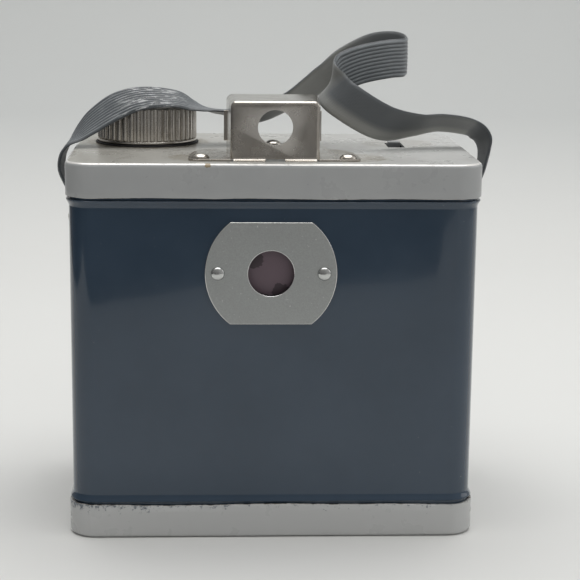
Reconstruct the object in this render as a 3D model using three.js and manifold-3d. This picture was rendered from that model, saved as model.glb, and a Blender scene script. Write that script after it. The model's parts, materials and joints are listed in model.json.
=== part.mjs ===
// Subminiature box camera in sheet metal: two pressed caps on a rectangular tube, a frame finder,
// a knurled winding knob and a ribbed wrist ribbon, with its shutter, lens and film carrier inside.
// Millimetres. +Z is up, the lens looks along -Y, and +X is on the right as the front is seen.
// The origin is the middle of the bottom cap's underside.
import * as THREE from 'three';
import { mergeVertices } from 'three/addons/utils/BufferGeometryUtils.js';
import Module from 'manifold-3d';

const wasm = await Module();
wasm.setup();

// Driving dimensions
const FIT = 0.1; // side clearance between the caps and the tube they slide on
const SEAT = 0.3; // gap between each end of the tube and the flat of its cap
const RUN = 0.06; // radial clearance of a pin that turns in its hole
const CAP = { width: 60, depth: 39.5, corner: 4, sheet: 0.4, skirt: 5.2, bend: 0.6 };
const HEIGHT = 55.5; // underside of the bottom cap to the flat of the top cap
const TUBE = { sheet: 0.4, corner: 3.5, beadOut: 0.42, beadTall: 1.15 };
const LENS_AXIS = { x: -0.5, z: 39.7 };
const LENS_PLATE = { radius: 9.5, flat: 7.45, thick: 0.5, hole: 3.3, rivetSpan: 15.3 };
const FINDER = { x: 0.05, front: -16.9, depth: 11.4, width: 12.8, flare: 0.5, tall: 8.6, sheet: 0.35 };
const FINDER_SIGHT = { radius: 2.5, z: HEIGHT + 4.85 };
const EAR = { thick: 0.3, reach: 12.4, rivetX: 10.6, rivetY: -15.4 };
const KNOB = { x: -19.1, y: 7, radius: 7.7, tall: 5.6, ribs: 44, ribDepth: 0.28, washer: 0.25 };
const SUPPLY_X = -KNOB.x;
const FILM = { low: 27.2, high: 52.2, gate: 22, gateY: 14.8 };
const RELEASE = { x: 19.4, slotLow: 0.8, slotHigh: 6.6, width: 2.6, travel: 2.8, tongueTop: 0.4 };
const SHUTTER = { x: 13, z: 40.5, y: -14.4, thick: 0.3, swing: THREE.MathUtils.degToRad(11.4) };
const REAR_RIVET = { x: 0.4, y: 1.8, washer: 0.3 };
const STRAP = { width: 5.85, thick: 0.5, anchorZ: 44.7, anchorY: 0.4 };
const CLAMP = { half: 3.4, low: -1.7, high: 1.7, thick: 0.8 };

// Sizes that follow from them
const CAP_FRONT = -CAP.depth / 2;
const TUBE_WIDTH = CAP.width - 2 * (CAP.sheet + FIT);
const TUBE_DEPTH = CAP.depth - 2 * (CAP.sheet + FIT);
const TUBE_FRONT = -TUBE_DEPTH / 2;
const TUBE_LOW = CAP.sheet + SEAT;
const TUBE_HIGH = HEIGHT - CAP.sheet - SEAT;
const CEILING = HEIGHT - CAP.sheet;
const PLATE_LOW = FILM.low - 1.3;
const PLATE_HIGH = FILM.high + 0.6;
const CARRIER_SHEET = 0.5;
const PAWL_RIVET = { x: KNOB.x + 7.2, y: KNOB.y - 10 };
const CHAMBER = { half: 10.7, front: -13.4, wall: 0.5 };

// Finishes
const finish = (color, roughness, metalness) =>
  new THREE.MeshStandardMaterial({ color, roughness, metalness });
const silverPaint = finish(0xa9aaa6, 0.42, 0.35);
const blueBlackEnamel = finish(0x18222c, 0.12, 0);
const satinAluminium = finish(0x9b9d9b, 0.4, 0.9);
const nickel = finish(0xb9b5ab, 0.2, 1);
const brass = finish(0xb08d4f, 0.35, 1);
const blackMetal = finish(0x17181a, 0.5, 0.3);
const springSteel = finish(0x8d9094, 0.3, 1);
const blackFibre = finish(0x1b1a1a, 0.9, 0);
const blackWood = finish(0x2a211a, 0.7, 0);
const lensGlass = finish(0x5a4450, 0.05, 0);
const redGlass = finish(0x8e1512, 0.1, 0);
const greyRibbon = finish(0x4a5056, 0.6, 0);

// Geometry helpers

/** Gives a closed geometry merged corners and turns its faces outwards. */
function welded(geometry) {
  const bare = geometry.clone();
  bare.deleteAttribute('normal');
  bare.deleteAttribute('uv');
  const merged = mergeVertices(bare, 1e-4);
  const at = merged.attributes.position;
  const index = merged.index.array;
  const [a, b, c] = [new THREE.Vector3(), new THREE.Vector3(), new THREE.Vector3()];
  let volume = 0;
  for (let i = 0; i < index.length; i += 3) {
    a.fromBufferAttribute(at, index[i]);
    b.fromBufferAttribute(at, index[i + 1]);
    c.fromBufferAttribute(at, index[i + 2]);
    volume += a.dot(b.cross(c));
  }
  if (volume < 0) {
    for (let i = 0; i < index.length; i += 3) {
      [index[i + 1], index[i + 2]] = [index[i + 2], index[i + 1]];
    }
  }
  return merged;
}

/** Makes a manifold solid of a closed geometry. */
function solid(geometry) {
  const merged = welded(geometry);
  return new wasm.Manifold(new wasm.Mesh({
    numProp: 3,
    vertProperties: new Float32Array(merged.attributes.position.array),
    triVerts: new Uint32Array(merged.index.array),
  }));
}

/** Turns a manifold solid back into a geometry. */
function geometryOf(manifold) {
  const mesh = manifold.getMesh();
  const geometry = new THREE.BufferGeometry();
  geometry.setAttribute('position', new THREE.BufferAttribute(mesh.vertProperties, 3));
  geometry.setIndex(new THREE.BufferAttribute(mesh.triVerts, 1));
  geometry.computeVertexNormals();
  return geometry;
}

/** Cuts every tool from a geometry. */
function cut(geometry, ...tools) {
  return geometryOf(tools.reduce((body, tool) => body.subtract(solid(tool)), solid(geometry)));
}

/** Joins geometries into one body. */
function join(...geometries) {
  return geometryOf(geometries.map(solid).reduce((body, piece) => body.add(piece)));
}

/** Corners of a rounded rectangle about the Z axis at height z, drawn in by inset all round. */
function ring(width, depth, corner, z, inset = 0, steps = 4) {
  const radius = Math.max(corner - inset, 0.05);
  const points = [];
  const centres = [[1, 1], [-1, 1], [-1, -1], [1, -1]];
  centres.forEach(([sx, sy], quarter) => {
    for (let i = 0; i <= steps; i += 1) {
      const angle = (quarter + i / steps) * Math.PI / 2;
      points.push(new THREE.Vector3(
        sx * (width / 2 - corner) + radius * Math.cos(angle),
        sy * (depth / 2 - corner) + radius * Math.sin(angle),
        z,
      ));
    }
  });
  return points;
}

/** Skins a row of equal rings. A looped row closes on itself, any other gets flat ends. */
function skin(rings, looped = false) {
  const count = rings[0].length;
  const positions = rings.flat().flatMap((p) => [p.x, p.y, p.z]);
  const index = [];
  const last = looped ? rings.length : rings.length - 1;
  for (let r = 0; r < last; r += 1) {
    const next = (r + 1) % rings.length;
    for (let i = 0; i < count; i += 1) {
      const j = (i + 1) % count;
      index.push(r * count + i, r * count + j, next * count + j);
      index.push(r * count + i, next * count + j, next * count + i);
    }
  }
  if (!looped) {
    const end = (rings.length - 1) * count;
    for (let i = 1; i < count - 1; i += 1) {
      index.push(0, i + 1, i);
      index.push(end, end + i, end + i + 1);
    }
  }
  const geometry = new THREE.BufferGeometry();
  geometry.setAttribute('position', new THREE.Float32BufferAttribute(positions, 3));
  geometry.setIndex(index);
  return geometry;
}

/** A box given by its low and high corners. */
function block(low, high) {
  const size = high.map((v, i) => v - low[i]);
  const middle = high.map((v, i) => (v + low[i]) / 2);
  return new THREE.BoxGeometry(...size).translate(...middle);
}

/** A round bar or hole tool along an axis, from one place to another on that axis. */
function bar(axis, radius, start, end, at, sides = 16) {
  const geometry = new THREE.CylinderGeometry(radius, radius, end - start, sides);
  geometry.translate(0, (start + end) / 2, 0);
  return pointed(geometry, axis).translate(...at);
}

/** Turns a geometry made along +Y so that it runs along the given axis. */
function pointed(geometry, axis) {
  if (axis === 'z') return geometry.rotateX(Math.PI / 2);
  if (axis === 'x') return geometry.rotateZ(-Math.PI / 2);
  return geometry;
}

/** A turned piece: profile points are [radius, place along the axis]. */
function turned(axis, profile, at, sides = 16) {
  const points = profile.map(([r, along]) => new THREE.Vector2(r, along));
  return pointed(new THREE.LatheGeometry(points, sides), axis).translate(...at);
}

/** A flat piece cut from sheet. Its outline lies across the named axis and starts at that place. */
function sheet(axis, outline, start, thick, steps = 8) {
  const geometry = new THREE.ExtrudeGeometry(outline, {
    depth: thick, bevelEnabled: false, curveSegments: steps,
  });
  if (axis === 'y') return geometry.rotateX(Math.PI / 2).translate(0, start + thick, 0);
  if (axis === 'x') {
    const basis = new THREE.Matrix4().makeBasis(
      new THREE.Vector3(0, 1, 0), new THREE.Vector3(0, 0, 1), new THREE.Vector3(1, 0, 0),
    );
    return geometry.applyMatrix4(basis).translate(start, 0, 0);
  }
  return geometry.translate(0, 0, start);
}

/** A circle as an outline. */
function disc(x, y, radius) {
  const outline = new THREE.Shape();
  outline.absarc(x, y, radius, 0, 2 * Math.PI, false);
  return outline;
}

/** A rectangle as an outline. */
function plate(left, low, right, high) {
  return new THREE.Shape([
    new THREE.Vector2(left, low), new THREE.Vector2(right, low),
    new THREE.Vector2(right, high), new THREE.Vector2(left, high),
  ]);
}

const camera = new THREE.Group();

/** Adds one named piece to the camera. */
function add(name, geometry, material) {
  const mesh = new THREE.Mesh(welded(geometry), material);
  mesh.name = name;
  camera.add(mesh);
}

/** A round-headed rivet from its seat outwards, with its upset tail behind the grip. */
function rivet(axis, seat, outward, head, shank, grip, at) {
  const tall = head * 0.55;
  const dome = [0.33, 0.67, 1].map((t) => {
    const angle = t * Math.PI / 2;
    return [head * Math.cos(angle), seat + outward * tall * Math.sin(angle)];
  });
  dome[2][0] = 0;
  const back = seat - outward * grip;
  const profile = [
    [0, back - outward * 0.4], [shank * 1.4, back - outward * 0.4], [shank * 1.4, back],
    [shank, back], [shank, seat], [head, seat], ...dome,
  ];
  return turned(axis, profile, at);
}

// Pressed shells

/** A pressed cap from the height of its flat to that of its rim, with the bend drawn round. */
function pressedCap(flat, rim) {
  const up = Math.sign(rim - flat);
  const steps = [0, 0.3, 0.6, 0.85, 1];
  const bend = (radius, z, inset) => steps.map((t) => {
    const angle = t * Math.PI / 2;
    const drawnIn = radius * (1 - Math.sin(angle));
    return ring(CAP.width, CAP.depth, CAP.corner, z + up * radius * (1 - Math.cos(angle)),
      inset + drawnIn);
  });
  const outer = bend(CAP.bend, flat, 0);
  const inner = bend(CAP.bend - CAP.sheet, flat + up * CAP.sheet, CAP.sheet).reverse();
  return skin([
    ...outer,
    ring(CAP.width, CAP.depth, CAP.corner, rim),
    ring(CAP.width, CAP.depth, CAP.corner, rim, CAP.sheet),
    ...inner,
  ]);
}

/** The rectangular body tube with its two rolled beads, pierced for lens, rivets and window. */
function bodyTube() {
  const { beadOut, beadTall } = TUBE;
  const [lowBead, highBead] = [CAP.skirt + FIT, HEIGHT - CAP.skirt - FIT];
  const [shoulder, crest] = [0.12, 0.35];
  const profile = [
    [TUBE_LOW, 0], [lowBead, 0], [lowBead + shoulder, beadOut], [lowBead + crest, beadOut],
    [lowBead + beadTall, 0], [highBead - beadTall, 0], [highBead - crest, beadOut],
    [highBead - shoulder, beadOut], [highBead, 0], [TUBE_HIGH, 0],
  ];
  const wall = (inset) => profile.map(([z, out]) =>
    ring(TUBE_WIDTH, TUBE_DEPTH, TUBE.corner, z, inset - out));
  const shell = skin([...wall(0), ...wall(TUBE.sheet).reverse()], true);
  const { x, z } = LENS_AXIS;
  const front = [TUBE_FRONT - 1, TUBE_FRONT + 1];
  const holes = [bar('y', LENS_PLATE.hole + 0.2, ...front, [x, 0, z], 20)];
  for (const side of [-1, 1]) {
    holes.push(bar('y', 0.5, ...front, [x + side * LENS_PLATE.rivetSpan / 2, 0, z]));
    const wallX = side * TUBE_WIDTH / 2;
    holes.push(bar('x', 0.7, wallX - 1, wallX + 1, [0, STRAP.anchorY, STRAP.anchorZ]));
  }
  holes.push(bar('y', 3.05, -TUBE_FRONT - 1, -TUBE_FRONT + 1, [x, 0, z], 20));
  return cut(shell, ...holes);
}

/** The top cap with its shaft hole, rivet holes and release slot. */
function topCap() {
  const through = [CEILING - 1, HEIGHT + 1];
  const holes = [bar('z', 1.6, ...through, [KNOB.x, KNOB.y, 0])];
  for (const side of [-1, 1]) {
    holes.push(bar('z', 0.75, ...through, [side * EAR.rivetX, EAR.rivetY, 0]));
  }
  holes.push(bar('z', 0.75, ...through, [REAR_RIVET.x, REAR_RIVET.y, 0]));
  holes.push(block(
    [RELEASE.x - RELEASE.width / 2, RELEASE.slotLow, CEILING - 1],
    [RELEASE.x + RELEASE.width / 2, RELEASE.slotHigh, HEIGHT + 1],
  ));
  return cut(pressedCap(HEIGHT, HEIGHT - CAP.skirt), ...holes);
}

add('body_tube', bodyTube(), blueBlackEnamel);
add('top_cap', topCap(), silverPaint);
add('bottom_cap', pressedCap(0, CAP.skirt), silverPaint);

// Lens plate with its two rivets

function lensPlate() {
  const { x, z } = LENS_AXIS;
  const { radius, flat, thick, hole, rivetSpan } = LENS_PLATE;
  const bow = Math.asin(flat / radius);
  const outline = new THREE.Shape();
  outline.absarc(x, z, radius, -bow, bow, false);
  outline.absarc(x, z, radius, Math.PI - bow, Math.PI + bow, false);
  outline.closePath();
  outline.holes.push(disc(x, z, hole));
  for (const side of [-1, 1]) outline.holes.push(disc(x + side * rivetSpan / 2, z, 0.5));
  return sheet('y', outline, TUBE_FRONT - thick, thick, 10);
}

add('lens_plate', lensPlate(), satinAluminium);
for (const [name, side] of [['left', -1], ['right', 1]]) {
  const at = [LENS_AXIS.x + side * LENS_PLATE.rivetSpan / 2, 0, LENS_AXIS.z];
  const seat = TUBE_FRONT - LENS_PLATE.thick;
  const grip = LENS_PLATE.thick + TUBE.sheet;
  add(`lens_plate_rivet_${name}`, rivet('y', seat, -1, 0.98, 0.42, grip, at), satinAluminium);
}

// Frame finder: a drawn hood, open behind and below, with a riveted ear on each side

/** Outline of the hood across the line of sight, drawn in by inset, with soft upper corners. */
function hoodRing(y, width, top, low, inset) {
  const half = width / 2 - inset;
  const corner = 0.9;
  const points = [[-half, low], [half, low]];
  for (const side of [1, -1]) {
    for (let i = 0; i <= 3; i += 1) {
      const angle = (i / 3 + (side < 0 ? 1 : 0)) * Math.PI / 2;
      const x = side * (half - corner) + corner * Math.cos(angle);
      points.push([x, top - inset - corner + corner * Math.sin(angle)]);
    }
  }
  return points.map(([x, z]) => new THREE.Vector3(FINDER.x + x, y, z));
}

function finderEar(side) {
  const wall = side * (FINDER.width / 2 - 0.1) + FINDER.x;
  const reach = side * EAR.reach;
  const back = FINDER.front + FINDER.depth + 0.9;
  const outline = new THREE.Shape();
  outline.moveTo(wall, FINDER.front - 0.1);
  outline.lineTo(reach - side * 1.6, FINDER.front - 0.1);
  outline.quadraticCurveTo(reach, FINDER.front - 0.1, reach, EAR.rivetY);
  outline.quadraticCurveTo(reach, back, reach - side * 3.6, back);
  outline.lineTo(wall, back);
  outline.closePath();
  outline.holes.push(disc(side * EAR.rivetX, EAR.rivetY, 0.75));
  return sheet('z', outline, HEIGHT, EAR.thick, 6);
}

function finderHood() {
  const { front, depth, width, flare, tall, sheet: wall } = FINDER;
  const top = HEIGHT + tall;
  const rear = front + depth;
  const rearWidth = width + 2 * flare;
  const hem = { low: EAR.thick + 1.4, drop: 2.4 };
  const outer = skin([
    hoodRing(front, width - 1.1, top - 0.55, HEIGHT, 0),
    hoodRing(front + 0.18, width - 0.4, top - 0.2, HEIGHT, 0),
    hoodRing(front + 0.55, width, top, HEIGHT, 0),
    hoodRing(rear, rearWidth, top, HEIGHT, 0),
  ]);
  const inner = skin([
    hoodRing(front + wall, width - 0.8, top - 0.4, HEIGHT - 1, wall),
    hoodRing(front + 0.75, width, top, HEIGHT - 1, wall),
    hoodRing(rear + 1, rearWidth + 0.1, top, HEIGHT - 1, wall),
  ]);
  const sightAt = [FINDER.x, 0, FINDER_SIGHT.z];
  const sight = bar('y', FINDER_SIGHT.radius, front - 1, front + 1, sightAt, 24);
  let hood = join(outer, finderEar(-1), finderEar(1));
  for (const side of [-1, 1]) {
    const edge = FINDER.x + side * (rearWidth / 2 + 0.12);
    const low = [Math.min(edge - side * 0.4, edge + side * 0.25), rear - 0.4, HEIGHT + hem.low];
    const high = [Math.max(edge - side * 0.4, edge + side * 0.25), rear, top - hem.drop];
    hood = join(hood, block(low, high));
    const foot = new THREE.Shape();
    foot.moveTo(front + 0.1, HEIGHT);
    foot.lineTo(front + 0.1, HEIGHT + 0.75);
    foot.lineTo(front, HEIGHT + 0.75);
    foot.quadraticCurveTo(front - 0.05, HEIGHT + 0.2, front - 0.5, HEIGHT + 0.12);
    foot.lineTo(front - 0.5, HEIGHT);
    foot.closePath();
    const start = side < 0 ? FINDER.x - 6 : FINDER.x + 1.6;
    hood = join(hood, sheet('x', foot, start, 4.4, 3));
  }
  return cut(hood, inner, sight);
}

add('finder_hood', finderHood(), nickel);
for (const [name, side] of [['left', -1], ['right', 1]]) {
  const at = [side * EAR.rivetX, EAR.rivetY, 0];
  const seat = HEIGHT + EAR.thick;
  add(`top_rivet_${name}`, rivet('z', seat, 1, 1.3, 0.68, EAR.thick + CAP.sheet, at), nickel);
}
const rearSeat = HEIGHT + REAR_RIVET.washer;
const rearAt = [REAR_RIVET.x, REAR_RIVET.y, 0];
add('top_rivet_rear', rivet('z', rearSeat, 1, 1.3, 0.68, REAR_RIVET.washer + CAP.sheet, rearAt), nickel);
add('rear_rivet_washer', turned('z', [
  [0.75, HEIGHT], [2, HEIGHT], [2, rearSeat], [0.75, rearSeat], [0.75, HEIGHT],
], rearAt), blackFibre);

// Winding gear: knob, screw, shaft, ratchet and the spool that takes the film up

const KNOB_LOW = HEIGHT + KNOB.washer + 0.05;
const KNOB_TOP = KNOB_LOW + KNOB.tall;
const knobAt = [KNOB.x, KNOB.y, 0];
const SCREW_RECESS = 0.9;

/** The knurled drum: straight ribs between a plain foot and a softened top edge. */
function windingKnob() {
  const { radius, ribs, ribDepth } = KNOB;
  const knurl = (z, drawnIn) => {
    const points = [];
    for (let i = 0; i < ribs; i += 1) {
      for (const [part, depth] of [[-0.28, 0], [0.1, 0], [0.34, ribDepth]]) {
        const angle = (i + part) / ribs * 2 * Math.PI;
        const r = radius - drawnIn - depth;
        points.push(new THREE.Vector3(r * Math.cos(angle), r * Math.sin(angle), z));
      }
    }
    return points;
  };
  const drum = skin([
    knurl(KNOB_LOW + 0.35, 0.05), knurl(KNOB_TOP - 0.25, 0.05), knurl(KNOB_TOP, 0.25),
  ]).translate(KNOB.x, KNOB.y, 0);
  const foot = bar('z', radius, KNOB_LOW, KNOB_LOW + 0.4, knobAt, 44);
  return cut(
    join(drum, foot),
    bar('z', 1.25, KNOB_LOW - 1, KNOB_TOP + 1, knobAt),
    bar('z', 2.9, KNOB_TOP - SCREW_RECESS, KNOB_TOP + 1, knobAt),
  );
}

function windShaft() {
  const low = PLATE_HIGH - 4.4;
  const key = block(
    [KNOB.x - 1.9, KNOB.y - 0.35, low], [KNOB.x + 1.9, KNOB.y + 0.35, PLATE_HIGH - 0.9],
  );
  const shaft = turned('z', [
    [0, low], [1.15, low], [1.15, PLATE_HIGH - 0.1], [1.5, PLATE_HIGH - 0.1],
    [1.5, HEIGHT + KNOB.washer], [1.15, HEIGHT + KNOB.washer],
    [1.15, KNOB_TOP - SCREW_RECESS - 1.6], [0, KNOB_TOP - SCREW_RECESS - 1.6],
  ], knobAt);
  return join(shaft, key);
}

function knobScrew() {
  const seat = KNOB_TOP - SCREW_RECESS;
  const screw = turned('z', [
    [0, seat - 1.3], [1.1, seat - 1.3], [1.1, seat], [2.6, seat],
    [2.6, seat + 0.45], [2.1, seat + 0.8], [0, seat + 0.8],
  ], knobAt);
  const slot = block(
    [KNOB.x - 3, KNOB.y - 0.25, seat + 0.4], [KNOB.x + 3, KNOB.y + 0.25, seat + 2],
  );
  return cut(screw, slot);
}

/** A ratchet wheel with saw teeth, fixed on the shaft just under the cap. */
function ratchetWheel() {
  const teeth = 14;
  const points = [];
  for (let i = 0; i < teeth; i += 1) {
    const angle = i / teeth * 2 * Math.PI;
    const next = angle + 0.86 / teeth * 2 * Math.PI;
    points.push(new THREE.Vector2(KNOB.x + 3.4 * Math.cos(angle), KNOB.y + 3.4 * Math.sin(angle)));
    points.push(new THREE.Vector2(KNOB.x + 4.1 * Math.cos(next), KNOB.y + 4.1 * Math.sin(next)));
  }
  const outline = new THREE.Shape(points);
  outline.holes.push(disc(KNOB.x, KNOB.y, 1.53));
  return sheet('z', outline, PLATE_HIGH + 0.9, 0.6, 12);
}

/** A spool for roll film: two flanges on a core, with a driving slot through its upper end. */
function filmSpool(x) {
  const [low, high] = [FILM.low - 0.5, FILM.high + 0.3];
  const spool = turned('z', [
    [0, low - 1.1], [1.2, low - 1.1], [1.2, low], [7.4, low], [7.4, low + 0.4], [2.6, low + 0.4],
    [2.6, high - 0.4], [7.4, high - 0.4], [7.4, high], [0, high],
  ], [x, KNOB.y, 0], 20);
  const socket = bar('z', 1.3, high - 6, high + 1, [x, KNOB.y, 0]);
  const slot = block([x - 2.1, KNOB.y - 0.5, high - 5], [x + 2.1, KNOB.y + 0.5, high + 1]);
  return cut(spool, socket, slot);
}

add('winding_knob', windingKnob(), nickel);
add('knob_washer', turned('z', [
  [1.7, HEIGHT], [8, HEIGHT], [8, HEIGHT + KNOB.washer], [1.7, HEIGHT + KNOB.washer], [1.7, HEIGHT],
], knobAt, 28), blackFibre);
add('knob_screw', knobScrew(), nickel);
add('wind_shaft', windShaft(), brass);
add('ratchet_wheel', ratchetWheel(), brass);
add('take_up_spool', filmSpool(KNOB.x), blackWood);
add('supply_spool', filmSpool(SUPPLY_X), blackWood);

/** A leaf pawl that rests by a tooth of the ratchet, with the rivet that holds its far end. */
function ratchetPawl() {
  const z = PLATE_HIGH + 0.9;
  const outline = new THREE.Shape();
  outline.moveTo(KNOB.x + 4.5, KNOB.y - 0.4);
  outline.lineTo(KNOB.x + 5.1, KNOB.y + 0.2);
  outline.lineTo(KNOB.x + 6.2, KNOB.y - 8.6);
  outline.lineTo(KNOB.x + 9.4, KNOB.y - 8.6);
  outline.lineTo(KNOB.x + 9.4, KNOB.y - 11.4);
  outline.lineTo(KNOB.x + 5.6, KNOB.y - 11.4);
  outline.closePath();
  outline.holes.push(disc(PAWL_RIVET.x, PAWL_RIVET.y, 0.6));
  return sheet('z', outline, z, 0.4, 6);
}

const pawlSeat = PLATE_HIGH + 1.3;
add('ratchet_pawl', ratchetPawl(), springSteel);
add('pawl_rivet', turned('z', [
  [0, PLATE_HIGH - 0.4], [0.9, PLATE_HIGH - 0.4], [0.9, PLATE_HIGH], [0.54, PLATE_HIGH],
  [0.54, pawlSeat], [0.95, pawlSeat], [0.8, pawlSeat + 0.35], [0, pawlSeat + 0.4],
], [PAWL_RIVET.x, PAWL_RIVET.y, 0]), brass);
add('pawl_spacer', turned('z', [
  [0.6, PLATE_HIGH + CARRIER_SHEET], [1.1, PLATE_HIGH + CARRIER_SHEET], [1.1, PLATE_HIGH + 0.9],
  [0.6, PLATE_HIGH + 0.9], [0.6, PLATE_HIGH + CARRIER_SHEET],
], [PAWL_RIVET.x, PAWL_RIVET.y, 0]), brass);

// Film carrier: two bearing plates joined by the light-tight chamber, with its gate behind

function filmCarrier() {
  const { half, front, wall } = CHAMBER;
  const { x, z } = LENS_AXIS;
  const bearing = (low) => skin([
    ring(56.8, 31.4, 3, low), ring(56.8, 31.4, 3, low + CARRIER_SHEET),
  ]).translate(0, 2.3, 0);
  const chamber = block([-half, front, PLATE_LOW], [half, FILM.gateY, PLATE_HIGH + CARRIER_SHEET]);
  const inside = block(
    [wall - half, front + wall, PLATE_LOW + CARRIER_SHEET],
    [half - wall, FILM.gateY - wall, PLATE_HIGH],
  );
  const gate = block(
    [-FILM.gate / 2 + 1, FILM.gateY - 2, FILM.low + 1], [FILM.gate / 2 - 1, FILM.gateY + 1, FILM.high - 1],
  );
  const holes = [gate, bar('y', 3.6, front - 1, front + 1, [x, 0, z])];
  for (const spoolX of [KNOB.x, SUPPLY_X]) {
    holes.push(bar('z', 1.2 + RUN, PLATE_LOW - 1, PLATE_LOW + 1, [spoolX, KNOB.y, 0]));
  }
  holes.push(bar('z', 2.4, PLATE_HIGH - 1, PLATE_HIGH + 1, knobAt));
  holes.push(bar('z', 1.3, PLATE_HIGH - 1, PLATE_HIGH + 1, [SUPPLY_X, KNOB.y, 0]));
  holes.push(bar('z', 0.6, PLATE_HIGH - 1, PLATE_HIGH + 1, [PAWL_RIVET.x, PAWL_RIVET.y, 0]));
  const frame = join(bearing(PLATE_LOW), bearing(PLATE_HIGH), chamber);
  return cut(frame, inside, ...holes);
}

/** The pin that steadies the supply spool from above, with its friction leaf. */
function supplyPin() {
  return turned('z', [
    [0, FILM.high - 4], [1.15, FILM.high - 4], [1.15, PLATE_HIGH + CARRIER_SHEET],
    [1.8, PLATE_HIGH + CARRIER_SHEET], [1.8, PLATE_HIGH + 0.65], [0, PLATE_HIGH + 0.65],
  ], [SUPPLY_X, KNOB.y, 0]);
}

add('film_carrier', filmCarrier(), blackMetal);
add('supply_spool_pin', supplyPin(), brass);

/** The plate that keeps the film flat on the gate, pierced in line with the rear window. */
function pressurePlate() {
  const outline = plate(-FILM.gate / 2 + 0.4, FILM.low + 0.2, FILM.gate / 2 - 0.4, FILM.high - 0.2);
  outline.holes.push(disc(LENS_AXIS.x, LENS_AXIS.z, 2.6));
  return sheet('y', outline, FILM.gateY + 0.3, 0.5, 10);
}

/** A bowed leaf between the pressure plate and the back of the body. */
function pressureSpring(side) {
  const low = FILM.gateY + 0.85;
  const high = -TUBE_FRONT - TUBE.sheet - 0.1;
  const leaf = new THREE.Shape();
  leaf.moveTo(FILM.low + 3, low);
  leaf.quadraticCurveTo((FILM.low + FILM.high) / 2, 2 * high - low - 0.5, FILM.high - 3, low);
  leaf.lineTo(FILM.high - 3, low + 0.3);
  leaf.quadraticCurveTo((FILM.low + FILM.high) / 2, 2 * high - low - 0.2, FILM.low + 3, low + 0.3);
  leaf.closePath();
  const geometry = new THREE.ExtrudeGeometry(leaf, { depth: 1.6, bevelEnabled: false, curveSegments: 8 });
  const basis = new THREE.Matrix4().makeBasis(
    new THREE.Vector3(0, 0, 1), new THREE.Vector3(0, 1, 0), new THREE.Vector3(-1, 0, 0),
  );
  return geometry.applyMatrix4(basis).translate(side * 7.6 + 0.8, 0, 0);
}

add('pressure_plate', pressurePlate(), blackMetal);
add('pressure_spring_left', pressureSpring(-1), springSteel);
add('pressure_spring_right', pressureSpring(1), springSteel);

// Lens in its cell, behind the front wall

const CELL = { front: TUBE_FRONT + TUBE.sheet + 0.25, back: SHUTTER.y - 0.7, outer: 5.4, bore: 4.4 };
const lensAt = [LENS_AXIS.x, 0, LENS_AXIS.z];

add('lens_cell', turned('y', [
  [3.4, CELL.front], [CELL.outer, CELL.front], [CELL.outer, CELL.back], [CELL.bore, CELL.back],
  [CELL.bore, CELL.front + 0.35], [3.4, CELL.front + 0.35], [3.4, CELL.front],
], lensAt, 20), blackMetal);

/** A weak lens: both faces bulge a little, and its rim sits just behind the lip of the cell. */
function lens() {
  const radius = CELL.bore - 0.1;
  const rim = CELL.front + 0.55;
  const profile = [[0, rim + 0.75], [radius * 0.6, rim + 0.82], [radius, rim + 0.9]];
  const frontSag = 0.12;
  for (const t of [1, 0.75, 0.5, 0.25, 0]) {
    profile.push([radius * t, rim - frontSag * (1 - t * t)]);
  }
  return turned('y', profile, lensAt, 20);
}

add('lens', lens(), lensGlass);
add('lens_retaining_ring', turned('y', [
  [3.3, CELL.back - 0.7], [CELL.bore - 0.02, CELL.back - 0.7], [CELL.bore - 0.02, CELL.back - 0.1],
  [3.3, CELL.back - 0.1], [3.3, CELL.back - 0.7],
], lensAt, 20), brass);

// Shutter: a swinging sector behind its aperture plate, moved by the release slide

/** Turns a place in the XZ plane about the shutter pivot, as the swinging sector does. */
function swung(x, z, angle) {
  const [dx, dz] = [x - SHUTTER.x, z - SHUTTER.z];
  return [
    SHUTTER.x + dx * Math.cos(angle) + dz * Math.sin(angle),
    SHUTTER.z - dx * Math.sin(angle) + dz * Math.cos(angle),
  ];
}

function shutterPlate() {
  const outline = plate(-16, PLATE_LOW + 2, 17, PLATE_HIGH);
  outline.holes.push(disc(LENS_AXIS.x, LENS_AXIS.z, 1.4));
  outline.holes.push(disc(SHUTTER.x, SHUTTER.z, 0.85));
  return sheet('y', outline, SHUTTER.y - 0.7, 0.4, 10);
}

function shutterSector() {
  const [holeX, holeZ] = swung(LENS_AXIS.x, LENS_AXIS.z, -SHUTTER.swing);
  const start = SHUTTER.y;
  const { thick } = SHUTTER;
  const paddle = join(
    sheet('y', disc(LENS_AXIS.x, LENS_AXIS.z, 3), start, thick, 10),
    sheet('y', disc(holeX, holeZ, 3), start, thick, 10),
    sheet('y', disc(SHUTTER.x, SHUTTER.z, 2.3), start, thick, 10),
    sheet('y', new THREE.Shape([
      new THREE.Vector2(LENS_AXIS.x, LENS_AXIS.z + 2.6), new THREE.Vector2(holeX, holeZ - 2.6),
      new THREE.Vector2(SHUTTER.x, SHUTTER.z - 2), new THREE.Vector2(SHUTTER.x, SHUTTER.z + 2),
    ]), start, thick),
    sheet('y', plate(SHUTTER.x - 0.6, SHUTTER.z, SHUTTER.x + 0.6, CEILING - 0.6), start, thick),
  );
  return cut(
    paddle,
    bar('y', 1.1, start - 1, start + 1, [holeX, 0, holeZ], 20),
    bar('y', 0.8 + RUN, start - 1, start + 1, [SHUTTER.x, 0, SHUTTER.z], 20),
  );
}

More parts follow.
